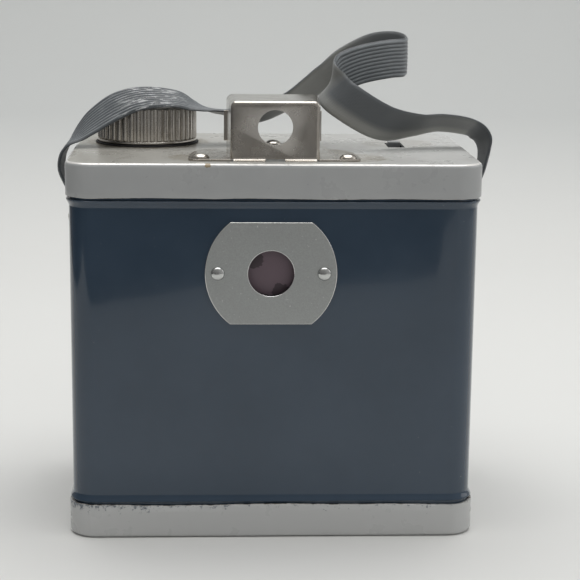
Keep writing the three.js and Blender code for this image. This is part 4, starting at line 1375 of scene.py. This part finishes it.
    def hem(self, side: int, base: float, rear: float, top: float) -> Piece:
        """Turns out the rear edge of one side wall."""
        edge = self.centre + side * (self.front_width / 2 + self.flare)
        a, b = sorted((edge - side * 0.2 * MM, edge + side * 0.38 * MM))
        outline = [(a, rear - 0.36 * MM), (b, rear - 0.3 * MM), (b, rear), (a, rear)]
        low = base + self.ear_thick + self.hem_low
        hem = prism("finder_hem", outline, low, top - self.hem_drop, Axis.Z)
        return soften(hem, 0.05 * MM)

    def build(self) -> None:
        """Makes the hood, ears, feet and hems and joins them as one pressing."""
        low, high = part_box("finder_hood")
        base = low.z
        front = low.y + self.foot_out
        rear = self.rear
        pieces = [self.hood(base, front, rear, high.z)]
        for side in (-1, 1):
            pieces.append(self.ear(side, base, front, high.y))
            pieces.append(self.foot(side, base, front))
            pieces.append(self.hem(side, base, rear, high.z))
        finder = joined("finder_pressing", pieces)

        def edge_marks(p: Vector) -> float:
            """A painted highlight round the edge of the sight hole."""
            round_eye = abs(math.hypot(p.x - self.centre, p.z - base - self.sight_up) - self.sight)
            return 1.0 if round_eye < 0.03 * MM and p.y < front + MM else 0.0

        def tarnish(p: Vector) -> float:
            """Dull on the ears, and half dull on the front plate and the feet."""
            if abs(p.x - self.centre) > self.front_width / 2 + self.flare + 0.4 * MM:
                return 1.0
            return 0.6 if p.y < front + 0.3 * MM else 0.0

        paint_points(finder, WearAndLight.EDGE, edge_marks)
        paint_points(finder, WearAndLight.SCUFF_AND_PAINTED_LIGHT, tarnish)
        place(dress(finder, self.finishes["nickel"]), BODY, ["finder_hood"])


def joined(name: str, pieces: Sequence[Piece]) -> Piece:
    """Joins pieces into one object without welding them.

    Args:
        name: Name of the joined piece.
        pieces: The pieces, which are removed.

    Returns:
        The joined object at the origin.
    """
    work = bmesh.new()
    for piece in pieces:
        work.from_mesh(piece.data)
    mesh = bpy.data.meshes.new(name)
    work.to_mesh(mesh)
    work.free()
    for piece in pieces:
        bpy.data.objects.remove(piece)
    whole = bpy.data.objects.new(name, mesh)
    bpy.context.scene.collection.objects.link(whole)
    return flatten_shading(whole)


@dataclass
class Rivets:
    """Every round-headed rivet, each row set from one head by a recipe."""

    finishes: FinishShelf
    head: float = 1.0 * MM
    # Height of a head over its radius, and its size over that of the CAD rivet.
    crown: float = 0.6
    share: float = 0.96

    def pattern(self) -> Piece:
        """Makes one rivet with the plain head radius, standing on +Z at the origin."""
        head, shank = self.head, -0.3 * MM
        slopes = [math.radians(9 * i) for i in range(1, 10)]
        dome = [(head * math.cos(a), head * self.crown * math.sin(a)) for a in slopes]
        profile = [
            (0.0, shank), (0.5 * head, shank), (0.5 * head, 0.0), (0.97 * head, 0.0),
            (head, 0.03 * MM), *dome, (0.0, head * self.crown),
        ]
        return lathe("rivet_pattern", profile, Vector((0, 0, 0)), Axis.Z, 36, 60.0)

    def row(self, name: str, nodes: Sequence[str], facing: Vector, radius: float, slot: str) -> None:
        """Sets one row of rivets.

        Args:
            name: The row's name.
            nodes: The CAD rivets that it stands for.
            facing: The direction that the heads face.
            radius: Head radius.
            slot: The record's material slot of the rivets.
        """
        seats = []
        for node in nodes:
            low, high, seat = node_box(node)
            axis = max(range(3), key=lambda k: abs(facing[k]))
            crown = self.share * self.crown * radius
            seat[axis] = high[axis] - crown if facing[axis] > 0 else low[axis] + crown
            seats.append(seat)
        host = mesh_object(name, seats, [])
        pattern = self.pattern()
        turn = tuple(facing.to_track_quat("Z", "Y").to_euler())
        size = radius / self.head * self.share
        recipe = rivet_row(f"{name}_recipe", self.finishes[slot])
        recipe.bake(host, {"Rivet": pattern, "Size": size, "Turn": turn}, 60.0)
        bpy.data.objects.remove(pattern)
        paint_points(host, WearAndLight.SCUFF_AND_PAINTED_LIGHT, lambda p: 1.0 if slot == "satin_aluminium" else 0.55)
        place(host, BODY, nodes)

    def build(self) -> None:
        """Sets the rivets of the top, the lens plate and the ribbon's clamps."""
        tops = ["top_rivet_left", "top_rivet_right", "top_rivet_rear"]
        self.row("top_rivets", tops, Vector((0, 0, 1)), 1.3 * MM, "nickel")
        plate = ["lens_plate_rivet_left", "lens_plate_rivet_right"]
        self.row("lens_plate_rivets", plate, Vector((0, -1, 0)), 1.06 * MM, "satin_aluminium")
        self.row("strap_rivets_left", ["strap_rivet_left"], Vector((-1, 0, 0)), 1.3 * MM, "nickel")
        self.row("strap_rivets_right", ["strap_rivet_right"], Vector((1, 0, 0)), 1.3 * MM, "nickel")


@dataclass
class WindingKnob:
    """The knurled knob, its screw and the dark washers."""

    finishes: FinishShelf
    ribs: int = 44
    rib_reach: float = 0.30 * MM
    recess: float = 2.9 * MM
    depth: float = 0.9 * MM
    # Height of the plain collar under the ribs.
    collar: float = 0.42 * MM
    bore: float = 1.3 * MM
    screw_tall: float = 0.8 * MM
    slot_half: float = 0.25 * MM

    def rib(self, height: float) -> Piece:
        """One straight rib along Z at the origin, with its rounded back towards +X."""
        half = 0.36 * MM
        section = [(-0.3 * MM, -half), (-0.02 * MM, -half)]
        for i in range(9):
            angle = math.radians(-80 + 20 * i)
            section.append((self.rib_reach * math.cos(angle), half * math.sin(angle)))
        section += [(-0.02 * MM, half), (-0.3 * MM, half)]
        levels = [(0.0, 0.2), (0.12 * MM, 0.85), (0.3 * MM, 1.0), (height - 0.26 * MM, 1.0),
                  (height - 0.1 * MM, 0.82), (height, 0.3)]
        rings = [
            [Vector((x * (share if x > 0 else 1.0), y * (0.6 + 0.4 * share), z)) for x, y in section]
            for z, share in levels
        ]
        return skin("rib_pattern", rings, sharp=50.0)

    def build(self) -> None:
        """Makes the knob, screw and washers."""
        low, high, middle = node_box("winding_knob")
        radius = (high.x - low.x) / 2
        centre = Vector((middle.x, middle.y, 0))
        core = radius - self.rib_reach
        recess, depth, foot, bore = self.recess, self.depth, self.collar, self.bore
        drum = lathe("knob_drum", [
            (bore, low.z), (radius - 0.12 * MM, low.z), (radius, low.z + 0.08 * MM),
            (radius, low.z + foot - 0.08 * MM), (radius - 0.1 * MM, low.z + foot),
            (core - 0.05 * MM, low.z + foot + 0.03 * MM), (core - 0.05 * MM, high.z - 0.3 * MM),
            (core - 0.1 * MM, high.z - 0.14 * MM), (core - 0.25 * MM, high.z - 0.04 * MM),
            (core - 0.45 * MM, high.z), (recess + 0.15 * MM, high.z), (recess, high.z - 0.15 * MM),
            (recess, high.z - depth), (bore, high.z - depth), (bore, low.z),
        ], centre, Axis.Z, 132, 40.0)
        pattern = self.rib(high.z - low.z - foot - 0.08 * MM)
        host = mesh_object("knob_ribs", [Vector((0, 0, 0))], [])
        recipe = ring_of("knurl_recipe", self.finishes["nickel"])
        recipe.bake(host, {
            "Piece": pattern, "Count": self.ribs, "Radius": core,
            "Centre": (middle.x, middle.y, low.z + foot - 0.05 * MM),
        }, 60.0)
        bpy.data.objects.remove(pattern)
        knob = joined("knurled_knob", [drum, host])
        place(dress(knob, self.finishes["nickel"]), "winding_gear", ["winding_knob"])
        self.build_screw()
        self.washer("knob_ring", "knob_washer", 1.7 * MM)
        self.washer("rear_rivet_ring", "rear_rivet_washer", 0.75 * MM)

    def build_screw(self) -> None:
        """Makes the slotted screw in the knob's recess."""
        low, high, middle = node_box("knob_screw")
        seat = high.z - self.screw_tall
        screw = lathe("knob_screw_head", [
            (0, low.z), (1.1 * MM, low.z), (1.1 * MM, seat), (2.55 * MM, seat),
            (2.6 * MM, seat + 0.05 * MM), (2.6 * MM, seat + 0.4 * MM), (2.45 * MM, seat + 0.55 * MM),
            (1.9 * MM, seat + 0.72 * MM), (1.0 * MM, high.z - 0.02 * MM), (0, high.z),
        ], Vector((middle.x, middle.y, 0)), Axis.Z, 48, 40.0)
        half = self.slot_half
        outline = [
            (middle.x - 3 * MM, middle.y - half), (middle.x + 3 * MM, middle.y - half),
            (middle.x + 3 * MM, middle.y + half), (middle.x - 3 * MM, middle.y + half),
        ]
        punch(screw, [prism("slot_cut", outline, seat + 0.35 * MM, high.z + MM, Axis.Z)])
        place(dress(screw, self.finishes["nickel"]), "winding_gear", ["knob_screw"])

    def washer(self, name: str, node: str, bore: float) -> None:
        """Makes one dark flat washer in place of its CAD node."""
        low, high, middle = node_box(node)
        outer = (high.x - low.x) / 2
        soft = 0.08 * MM
        ring = lathe(name, [
            (bore, low.z), (outer - soft, low.z), (outer, low.z + soft), (outer, high.z - soft),
            (outer - soft, high.z), (bore, high.z), (bore, low.z),
        ], Vector((middle.x, middle.y, 0)), Axis.Z, 64, 50.0)
        place(dress(ring, self.finishes["black_fibre"]), BODY, [node])


@dataclass
class RearWindow:
    """The red frame-number window and its eyelet."""

    finishes: FinishShelf
    bore: float = 2.3 * MM
    barrel: float = 3.0 * MM
    shank: float = 0.2 * MM
    # The rolled face in millimetres: radius, and height over its seat.
    rolled: tuple[Point2, ...] = (
        (4.12, 0.0), (4.2, 0.08), (4.12, 0.28), (3.8, 0.43), (3.3, 0.45), (2.75, 0.38), (2.4, 0.2),
        (2.3, -0.05),
    )

    def build(self) -> None:
        """Makes the eyelet and the window."""
        low, _, middle = node_box("red_window_frame")
        seat = low.y + self.shank
        rolled = [(radius * MM, seat + up * MM) for radius, up in self.rolled]
        shank = [(self.bore, low.y), (self.barrel, low.y), (self.barrel, seat)]
        profile = [*shank, *rolled, (self.bore, low.y)]
        centre = Vector((middle.x, 0, middle.z))
        eyelet = lathe("window_eyelet", profile, centre, Axis.Y, 72, 50.0)
        place(dress(eyelet, self.finishes["nickel"]), BODY, ["red_window_frame"])
        glass_low, glass_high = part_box("red_window")
        rim = (glass_high.x - glass_low.x) / 2
        pane = lathe("window_pane", [
            (0, glass_low.y), (rim - 0.05 * MM, glass_low.y), (rim, glass_low.y + 0.05 * MM),
            (rim, glass_high.y - 0.05 * MM), (rim - 0.05 * MM, glass_high.y), (0, glass_high.y),
        ], centre, Axis.Y, 48, 50.0)
        place(dress(pane, self.finishes["red_glass"]), BODY, ["red_window"])


@dataclass
class WristStrap:
    """The ribbed wrist ribbon and the clamps that hold its ends."""

    finishes: FinishShelf
    width: float = 5.85 * MM
    thick: float = 0.5 * MM
    cords: int = 10
    steps: int = 420
    # How far the edges curl towards the plain face.
    curl: float = 0.07 * MM
    # The place over the knob where the ribs are scuffed bare and painted darker as painted shade, and how
    # far that reaches.
    scuffed_and_shaded_at: Point3 = (-18.5 * MM, 1.0 * MM, 63.0 * MM)
    scuffed_and_shaded_reach: float = 4.5 * MM
    edge: float = 0.16 * MM
    rib: float = 0.17 * MM
    # Where the ribbon's plain face gets painted sheen, paler where it reflects the light and the bright cap
    # top: station, share at the near edge, share at the far edge.
    painted_sheen: tuple[Point3, ...] = (
        (0, 0.0, 0.0), (13, 0.0, 0.0), (14.5, 0.75, 0.75), (16.8, 0.8, 0.7), (18, 0.2, 0.15),
        (22, 0.0, 0.0), (24, 0.2, 0.3), (25, 0.6, 0.6), (25.8, 0.05, 0.6), (28, 0.0, 0.85),
        (29.3, 0.05, 0.8), (30.4, 0.25, 1.0),
        (32.3, 0.45, 1.0), (32.6, 0.0, 0.3), (34, 0.0, 0.0), (39, 0.0, 0.0),
    )
    # The ribbon's middle in millimetres, then the direction across it from its near edge.
    route: tuple[tuple[float, ...], ...] = (
        (-29.8, 0.4, 46.8, 0, 1, 0), (-30.7, 0.4, 49.2, 0.05, 1, 0), (-31.9, 0.4, 52.2, 0.07, 1, 0),
        (-31.7, 0.4, 54.3, 0.07, 1, 0), (-30.8, 0.3, 55.9, 0.05, 1, 0.05),
        (-28.9, 0.3, 57.7, -0.2, 0.93, 0.27),
        (-27.0, 0.3, 59.4, -0.3, 0.84, 0.45), (-23.6, 0.4, 61.65, -0.3, 0.78, 0.57),
        (-20.1, 0.8, 62.85, -0.1, 0.84, 0.52), (-14.6, 1.6, 62.8, 0.15, 0.93, 0.3),
        (-11.8, 2.2, 61.8, 0.2, 0.97, 0.05), (-9.2, 2.8, 60.95, 0.08, 0.99, -0.15),
        (-6.6, 3.3, 60.55, 0.03, 0.98, -0.2), (-2.0, 4.0, 60.4, 0.1, 0.85, -0.55),
        (2.3, 4.8, 62.0, 0.15, 0.85, -0.5), (5.8, 5.6, 64.1, 0.44, 0.78, -0.45),
        (8.3, 6.5, 65.8, 0.38, 0.7, -0.6), (11.7, 7.5, 67.7, 0.26, 0.32, -0.9),
        (16.6, 8.4, 69.7, 0.12, 0.05, -1), (19.6, 7.8, 69.9, 0.03, 0, -1), (21.0, 5.6, 69.35, 0, 0, -1),
        (20.5, 3.3, 69.05, 0, 0, -1), (18.2, 2.3, 68.9, 0, 0, -1), (13.7, 2.0, 68.0, -0.08, 0, -1),
        (10.7, 1.0, 66.8, -0.2, -0.1, -0.97), (9.0, -1.6, 65.5, -0.38, -0.25, -0.88),
        (9.6, -3.4, 64.1, -0.5, -0.12, -0.85), (11.3, -4.0, 62.8, -0.56, 0, -0.83),
        (15.7, -3.5, 60.2, -0.5, 0.18, -0.84), (18.1, -2.8, 59.4, -0.42, 0.36, -0.82),
        (22.3, -1.2, 59.2, -0.26, 0.7, -0.62), (26.1, -0.1, 59.5, -0.08, 0.85, -0.52),
        (29.9, 0.0, 59.0, -0.07, 0.86, -0.5), (31.6, 0.1, 58.3, -0.25, 0.88, -0.38),
        (32.4, 0.1, 57.3, -0.33, 0.9, -0.28), (32.8, 0.2, 55.9, -0.18, 0.96, -0.2),
        (32.8, 0.3, 54.2, -0.1, 0.98, -0.15), (32.3, 0.4, 51.8, -0.06, 1, -0.06),
        (31.0, 0.4, 49.0, -0.03, 1, 0), (29.8, 0.4, 46.8, 0, 1, 0),
    )

    @staticmethod
    def smooth_curve(stations: Sequence[Vector], steps: int) -> list[Vector]:
        """Runs a centripetal curve through stations, as the CAD strip does.

        Args:
            stations: The points that the curve passes through.
            steps: How many equal steps of the curve's own parameter to take.

        Returns:
            The points along the curve, both ends included.
        """
        first = stations[0] + (stations[0] - stations[1])
        last = stations[-1] + (stations[-1] - stations[-2])
        row = [first, *stations, last]
        made = []
        for i in range(steps + 1):
            where = i / steps * (len(stations) - 1)
            k = min(int(where), len(stations) - 2)
            made.append(WristStrap.between(row[k:k + 4], where - k))
        return made

    @staticmethod
    def between(four: Sequence[Vector], share: float) -> Vector:
        """A point between the middle two of four stations, on a centripetal curve."""
        knots = [0.0]
        for a, b in zip(four, four[1:]):
            knots.append(knots[-1] + max((b - a).length, 1e-6) ** 0.5)
        t = knots[1] + (knots[2] - knots[1]) * share
        spans = (((0, 1), (1, 2), (2, 3)), ((0, 2), (1, 3)), ((1, 2),))
        level = list(four)
        for ends in spans:
            level = [
                level[i].lerp(level[i + 1], (t - knots[low]) / (knots[high] - knots[low]))
                for i, (low, high) in enumerate(ends)
            ]
        return level[0]

    def sheen_share(self, station: float, across: float) -> float:
        """How much painted sheen the plain face gets at a place along and across it."""
        share = across / self.width + 0.5
        for (a, near_a, far_a), (b, near_b, far_b) in zip(self.painted_sheen, self.painted_sheen[1:]):
            if a <= station <= b:
                t = (station - a) / (b - a)
                near, far = near_a + (near_b - near_a) * t, far_a + (far_b - far_a) * t
                edge = min(1.0, max(0.0, (share - 0.62) / 0.16))
                return near + (far - near) * edge
        return 0.0

    def crest_highlight(self, station: float) -> float:
        """How much painted highlight the cords' crests get at a place along the ribbon."""
        crest, rise = math.exp(-((station - 22.0) / 2.4) ** 2), math.exp(-((station - 6.0) / 1.5) ** 2)
        return max(crest, 0.35 * rise)

    def section(self) -> list[Point3]:
        """The ribbon's cross-section: place across, place through, and how ribbed it is there."""
        half, through = self.width / 2, self.thick / 2
        edge, rib = self.edge, self.rib
        pitch = (self.width - 2 * edge) / self.cords
        points: list[Point3] = []
        for c in range(self.cords):
            for i in range(5):
                share = i / 5
                across = -half + edge + (c + share) * pitch
                points.append((across, through - rib + rib * math.sin(math.pi * share) ** 0.8,
                               math.sin(math.pi * share)))
        points.append((half - edge, through - rib, 0.0))
        points.append((half - 0.03 * MM, through - rib - 0.08 * MM, 0.1))
        points.append((half, -0.04 * MM, 0.1))
        for i in range(13):
            across = half - 0.05 * MM - (self.width - 0.1 * MM) * i / 12
            points.append((across, -through + (0.08 * MM if i in (0, 12) else 0.0), 0.0))
        points.append((-half, -0.04 * MM, 0.1))
        points.append((-half + 0.03 * MM, through - rib - 0.08 * MM, 0.1))
        return points[::-1]

    def build(self) -> None:
        middle = self.smooth_curve([Vector(s[:3]) * MM for s in self.route], self.steps)
        across = self.smooth_curve([Vector(s[3:]) for s in self.route], self.steps)
        ribbon, run = self.ribbon(middle, across)
        place(dress(ribbon, self.finishes["grey_ribbon"]), BODY, ["wrist_strap"])
        for side in ("left", "right"):
            self.clamp(side)

    def ribbon(self, middle: Sequence[Vector], across: Sequence[Vector]) -> tuple[Piece, float]:
        """Sweeps the cross-section along the ribbon's course and marks where it is worn and where light and
        shade are painted.

        Args:
            middle: Places along the ribbon's middle.
            across: The direction across the ribbon at each of them.

        Returns:
            The ribbon and the length of its middle.
        """
        section = self.section()
        points: list[Vector] = []
        coords: list[Point2] = []
        marks: dict[WearAndLight, list[float]] = {WearAndLight.RIB: [], WearAndLight.SCUFF_AND_PAINTED_LIGHT: [], WearAndLight.FADE: []}
        scuffed_and_shaded_at = Vector(self.scuffed_and_shaded_at)
        run = 0.0
        for i, centre in enumerate(middle):
            before, after = middle[max(i - 1, 0)], middle[min(i + 1, self.steps)]
            along = (after - before).normalized()
            side = across[i] - along * across[i].dot(along)
            side.normalize()
            face = along.cross(side)
            if i:
                run += (centre - middle[i - 1]).length
            station = i / self.steps * (len(self.route) - 1)
            near = math.exp(-((centre - scuffed_and_shaded_at).length / self.scuffed_and_shaded_reach) ** 2)
            for s, f, rib in section:
                points.append(centre + side * s + face * (f - self.curl * (2 * s / self.width) ** 2))
                coords.append((run, s))
                marks[WearAndLight.RIB].append(rib if f > -self.thick / 4 else -1.0)
                marks[WearAndLight.SCUFF_AND_PAINTED_LIGHT].append(near if f > 0 else 0.0)
                marks[WearAndLight.FADE].append(self.sheen_share(station, s) if f < 0 else self.crest_highlight(station))
        return self.ribbon_mesh(points, coords, marks, len(section)), run

    def ribbon_mesh(
        self, points: Sequence[Vector], coords: Sequence[Point2], marks: dict[WearAndLight, list[float]],
        count: int,
    ) -> Piece:
        """Makes the ribbon's mesh object from its points.

        Args:
            points: The points, ring by ring.
            coords: For each point, the place along and across the ribbon, for the weave.
            marks: For each kind of wear, its amount at each point.
            count: Points in each ring.

        Returns:
            The ribbon, linked to the scene.
        """
        mesh = bpy.data.meshes.new("wrist_ribbon")
        mesh.from_pydata([tuple(p) for p in points], [], ring_faces(count, self.steps + 1, ends=True))
        ribbon = bpy.data.objects.new("wrist_ribbon", mesh)
        bpy.context.scene.collection.objects.link(ribbon)
        layer = mesh.uv_layers.new(name="run")
        layer.data.foreach_set("uv", [c for loop in mesh.loops for c in coords[loop.vertex_index]])
        for name, values in marks.items():
            mesh.attributes.new(name.value, "FLOAT", "POINT").data.foreach_set("value", values)
        mesh.polygons.foreach_set("use_smooth", [True] * len(mesh.polygons))
        flip_if_inside_out(mesh)
        return ribbon

    def clamp(self, side: str) -> None:
        """Makes one clamp: a small plate with rounded corners over the ribbon's end."""
        low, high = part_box(f"strap_clamp_{side}")
        outward = -1 if side == "left" else 1
        wall = high.x if side == "left" else low.x
        soft = 0.5 * MM
        corners = [
            ((low.y + soft, low.z + soft), 180, 270), ((high.y - soft, low.z + soft), 270, 360),
            ((high.y - soft, high.z - soft), 0, 90), ((low.y + soft, high.z - soft), 90, 180),
        ]
        outline = [p for centre, a, b in corners for p in arc_points(centre, soft, a, b, 6)]
        ends = sorted((wall, wall + outward * (high.x - low.x)))
        clamp = prism(f"strap_clamp_{side}_plate", outline, ends[0], ends[1], Axis.X)
        soften(clamp, 0.12 * MM, 3)
        place(dress(clamp, self.finishes["nickel"]), BODY, [f"strap_clamp_{side}"])


def flip_if_inside_out(mesh: bpy.types.Mesh) -> None:
    """Turns a closed mesh's faces outwards if it was made inside out."""
    work = bmesh.new()
    work.from_mesh(mesh)
    if work.calc_volume(signed=True) < 0:
        bmesh.ops.reverse_faces(work, faces=work.faces)
        work.to_mesh(mesh)
    work.free()


@dataclass
class Works:
    """Every CAD node that no finished piece stands for: it keeps its CAD shape."""

    finishes: FinishShelf
    frame: dict[str, dict]

    def build(self) -> None:
        """Gives every CAD node that still shows its finish."""
        slots = {row["node"]: row["material_slot"] for row in self.frame["record"]["subparts"]}
        for node, piece in self.frame["nodes"].items():
            if not piece.hide_render:
                dress(piece, self.finishes[slots[node]])
                LOG.info("%s keeps its CAD shape in %s", node, slots[node])


# ---------------------------------------------------------------- studio


@dataclass
class Studio:
    """Floor, backdrop, lights and camera."""

    lens: float = 102.35
    sensor: float = 36.0
    stand: Vector = field(default_factory=lambda: Vector((-8.94, -251.17, 85.62)) * MM)
    pitch: float = 11.77
    yaw: float = -2.76
    roll: float = 0.61
    wall: float = 330.0 * MM
    bend: float = 130.0 * MM
    wall_top: float = 560.0 * MM
    surround: float = 1.0
    # Brightness along each axis, from its negative end at 0 to its positive end at 1.
    glow_sideways: tuple[Point2, ...] = ((0.0, 0.0), (1.0, 0.26), (0.5, 0.04))
    glow_forwards: tuple[Point2, ...] = ((0.0, 0.11), (1.0, 0.22), (0.5, 0.05))
    glow_upwards: tuple[Point2, ...] = (
        (0.0, 0.0), (1.0, 0.6), (0.5, 0.03), (0.6, 0.11), (0.82, 0.15), (0.92, 0.5)
    )
    # The front edge of the card, from left to right, in millimetres.
    front: tuple[Point2, ...] = (
        (-210, -170), (-60, -176), (-41, -181), (-24, -190), (-12, -202), (24, -204), (41, -208),
        (53, -221), (62, -246), (70, -285), (100, -330), (330, -380),
    )

    def build(self) -> None:
        """Makes the backdrop, lights, surroundings and camera."""
        self.build_backdrop()
        self.build_lights()
        self.build_world()
        self.build_camera()

    def build_backdrop(self) -> None:
        """Sweeps one sheet of card: a floor that bends up into a wall behind."""
        line = [(self.wall - self.bend, 0.0)]
        line += arc_points((self.wall - self.bend, self.bend), self.bend, -85, 0, 17)
        line.append((self.wall, self.wall_top))
        sink = -0.05 * MM
        rows = [[Vector((x * MM, y * MM, sink)) for x, y in self.front]]
        rows += [[Vector((x * MM, y, z + sink)) for x, _ in self.front] for y, z in line]
        count = len(self.front)
        faces = [
            [r * count + i, r * count + i + 1, (r + 1) * count + i + 1, (r + 1) * count + i]
            for r in range(len(rows) - 1) for i in range(count - 1)
        ]
        mesh = bpy.data.meshes.new("studio_card")
        mesh.from_pydata([tuple(p) for row in rows for p in row], [], faces)
        mesh.polygons.foreach_set("use_smooth", [True] * len(mesh.polygons))
        card = bpy.data.objects.new("studio_card", mesh)
        bpy.context.scene.collection.objects.link(card)
        dress(card, StudioCard().build())

    def light(
        self, name: str, at: Sequence[float], aim: Sequence[float], size: float, power: float
    ) -> Piece:
        """Hangs one soft square light.

        Args:
            name: The light's name.
            at: Where it hangs, in millimetres.
            aim: What it points at, in millimetres.
            size: Length of its side in metres.
            power: Its power in watts.

        Returns:
            The light.
        """
        data = bpy.data.lights.new(name, "AREA")
        data.size = size
        data.energy = power
        lamp = bpy.data.objects.new(name, data)
        lamp.location = Vector(at) * MM
        lamp.rotation_euler = (Vector(aim) - Vector(at)).to_track_quat("-Z", "Y").to_euler()
        bpy.context.scene.collection.objects.link(lamp)
        return lamp

    def build_lights(self) -> None:
        """Hangs the overhead softbox and two weaker fills, on the right and in front."""
        self.light("overhead", (0, 60, 430), (0, 60, 0), 0.40, 1.6)
        self.light("fill_right", (460, 40, 240), (0, 0, 40), 0.30, 0.25)
        self.light("fill_front", (60, -520, 300), (0, 0, 30), 0.50, 0.48).visible_glossy = False

    def build_world(self) -> None:
        """Sets the grey surround: brightest overhead, then on the right and behind, dimmest on the left."""
        world = bpy.data.worlds.new("surround")
        world.use_nodes = True
        bpy.context.scene.world = world
        tree = world.node_tree
        apart = tree.nodes.new("ShaderNodeSeparateXYZ")
        tree.links.new(tree.nodes.new("ShaderNodeTexCoord").outputs["Generated"], apart.inputs[0])
        levels = []
        for index, stops in enumerate((self.glow_sideways, self.glow_forwards, self.glow_upwards)):
            ramp = tree.nodes.new("ShaderNodeValToRGB")
            shift = tree.nodes.new("ShaderNodeMapRange")
            shift.inputs[1].default_value = -1.0
            tree.links.new(apart.outputs[index], shift.inputs[0])
            tree.links.new(shift.outputs[0], ramp.inputs[0])
            elements = ramp.color_ramp.elements
            for number, (at, level) in enumerate(stops):
                stop = elements[number] if number < 2 else elements.new(at)
                stop.position = at
                stop.color = (level, level * 0.99, level * 0.98, 1.0)
            levels.append(ramp.outputs[0])
        total = levels[0]
        for more in levels[1:]:
            adding = tree.nodes.new("ShaderNodeVectorMath")
            tree.links.new(total, adding.inputs[0])
            tree.links.new(more, adding.inputs[1])
            total = adding.outputs[0]
        background = tree.nodes["Background"]
        tree.links.new(total, background.inputs["Color"])
        background.inputs["Strength"].default_value = self.surround

    def build_camera(self) -> None:
        """Stands the camera at the viewing angle."""
        pitch, yaw, roll = (math.radians(a) for a in (self.pitch, self.yaw, self.roll))
        data = bpy.data.cameras.new("viewpoint")
        data.lens = self.lens
        data.sensor_width = self.sensor
        data.clip_start = 1 * MM
        viewer = bpy.data.objects.new("viewpoint", data)
        ahead = Vector((-math.sin(yaw), math.cos(yaw), 0))
        forward = ahead * math.cos(pitch) - Vector((0, 0, math.sin(pitch)))
        level = Vector((math.cos(yaw), math.sin(yaw), 0))
        above = level.cross(forward)
        right = level * math.cos(roll) + above * math.sin(roll)
        upward = above * math.cos(roll) - level * math.sin(roll)
        turn = Matrix((right, upward, -forward)).transposed().to_4x4()
        viewer.matrix_world = Matrix.Translation(self.stand) @ turn
        bpy.context.scene.collection.objects.link(viewer)
        bpy.context.scene.camera = viewer


def set_colour_view() -> None:
    """Shows colours plainly, without a film look."""
    view = bpy.context.scene.view_settings
    view.view_transform = "Standard"
    view.look = "None"


def main() -> None:
    """Builds the camera's looks round the frame, piece by piece."""
    logging.basicConfig(level=logging.INFO, format="%(name)s: %(message)s")
    for leftover in list(bpy.data.objects):
        bpy.data.objects.remove(leftover)
    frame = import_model()
    set_colour_view()
    Studio().build()
    finishes = FinishShelf().build()
    for assembly in (
        WristStrap(finishes), Shell(finishes), LensMount(finishes), Finder(finishes), Rivets(finishes),
        WindingKnob(finishes), RearWindow(finishes), Works(finishes, frame),
    ):
        assembly.build()


if __name__ == "__main__":
    main()
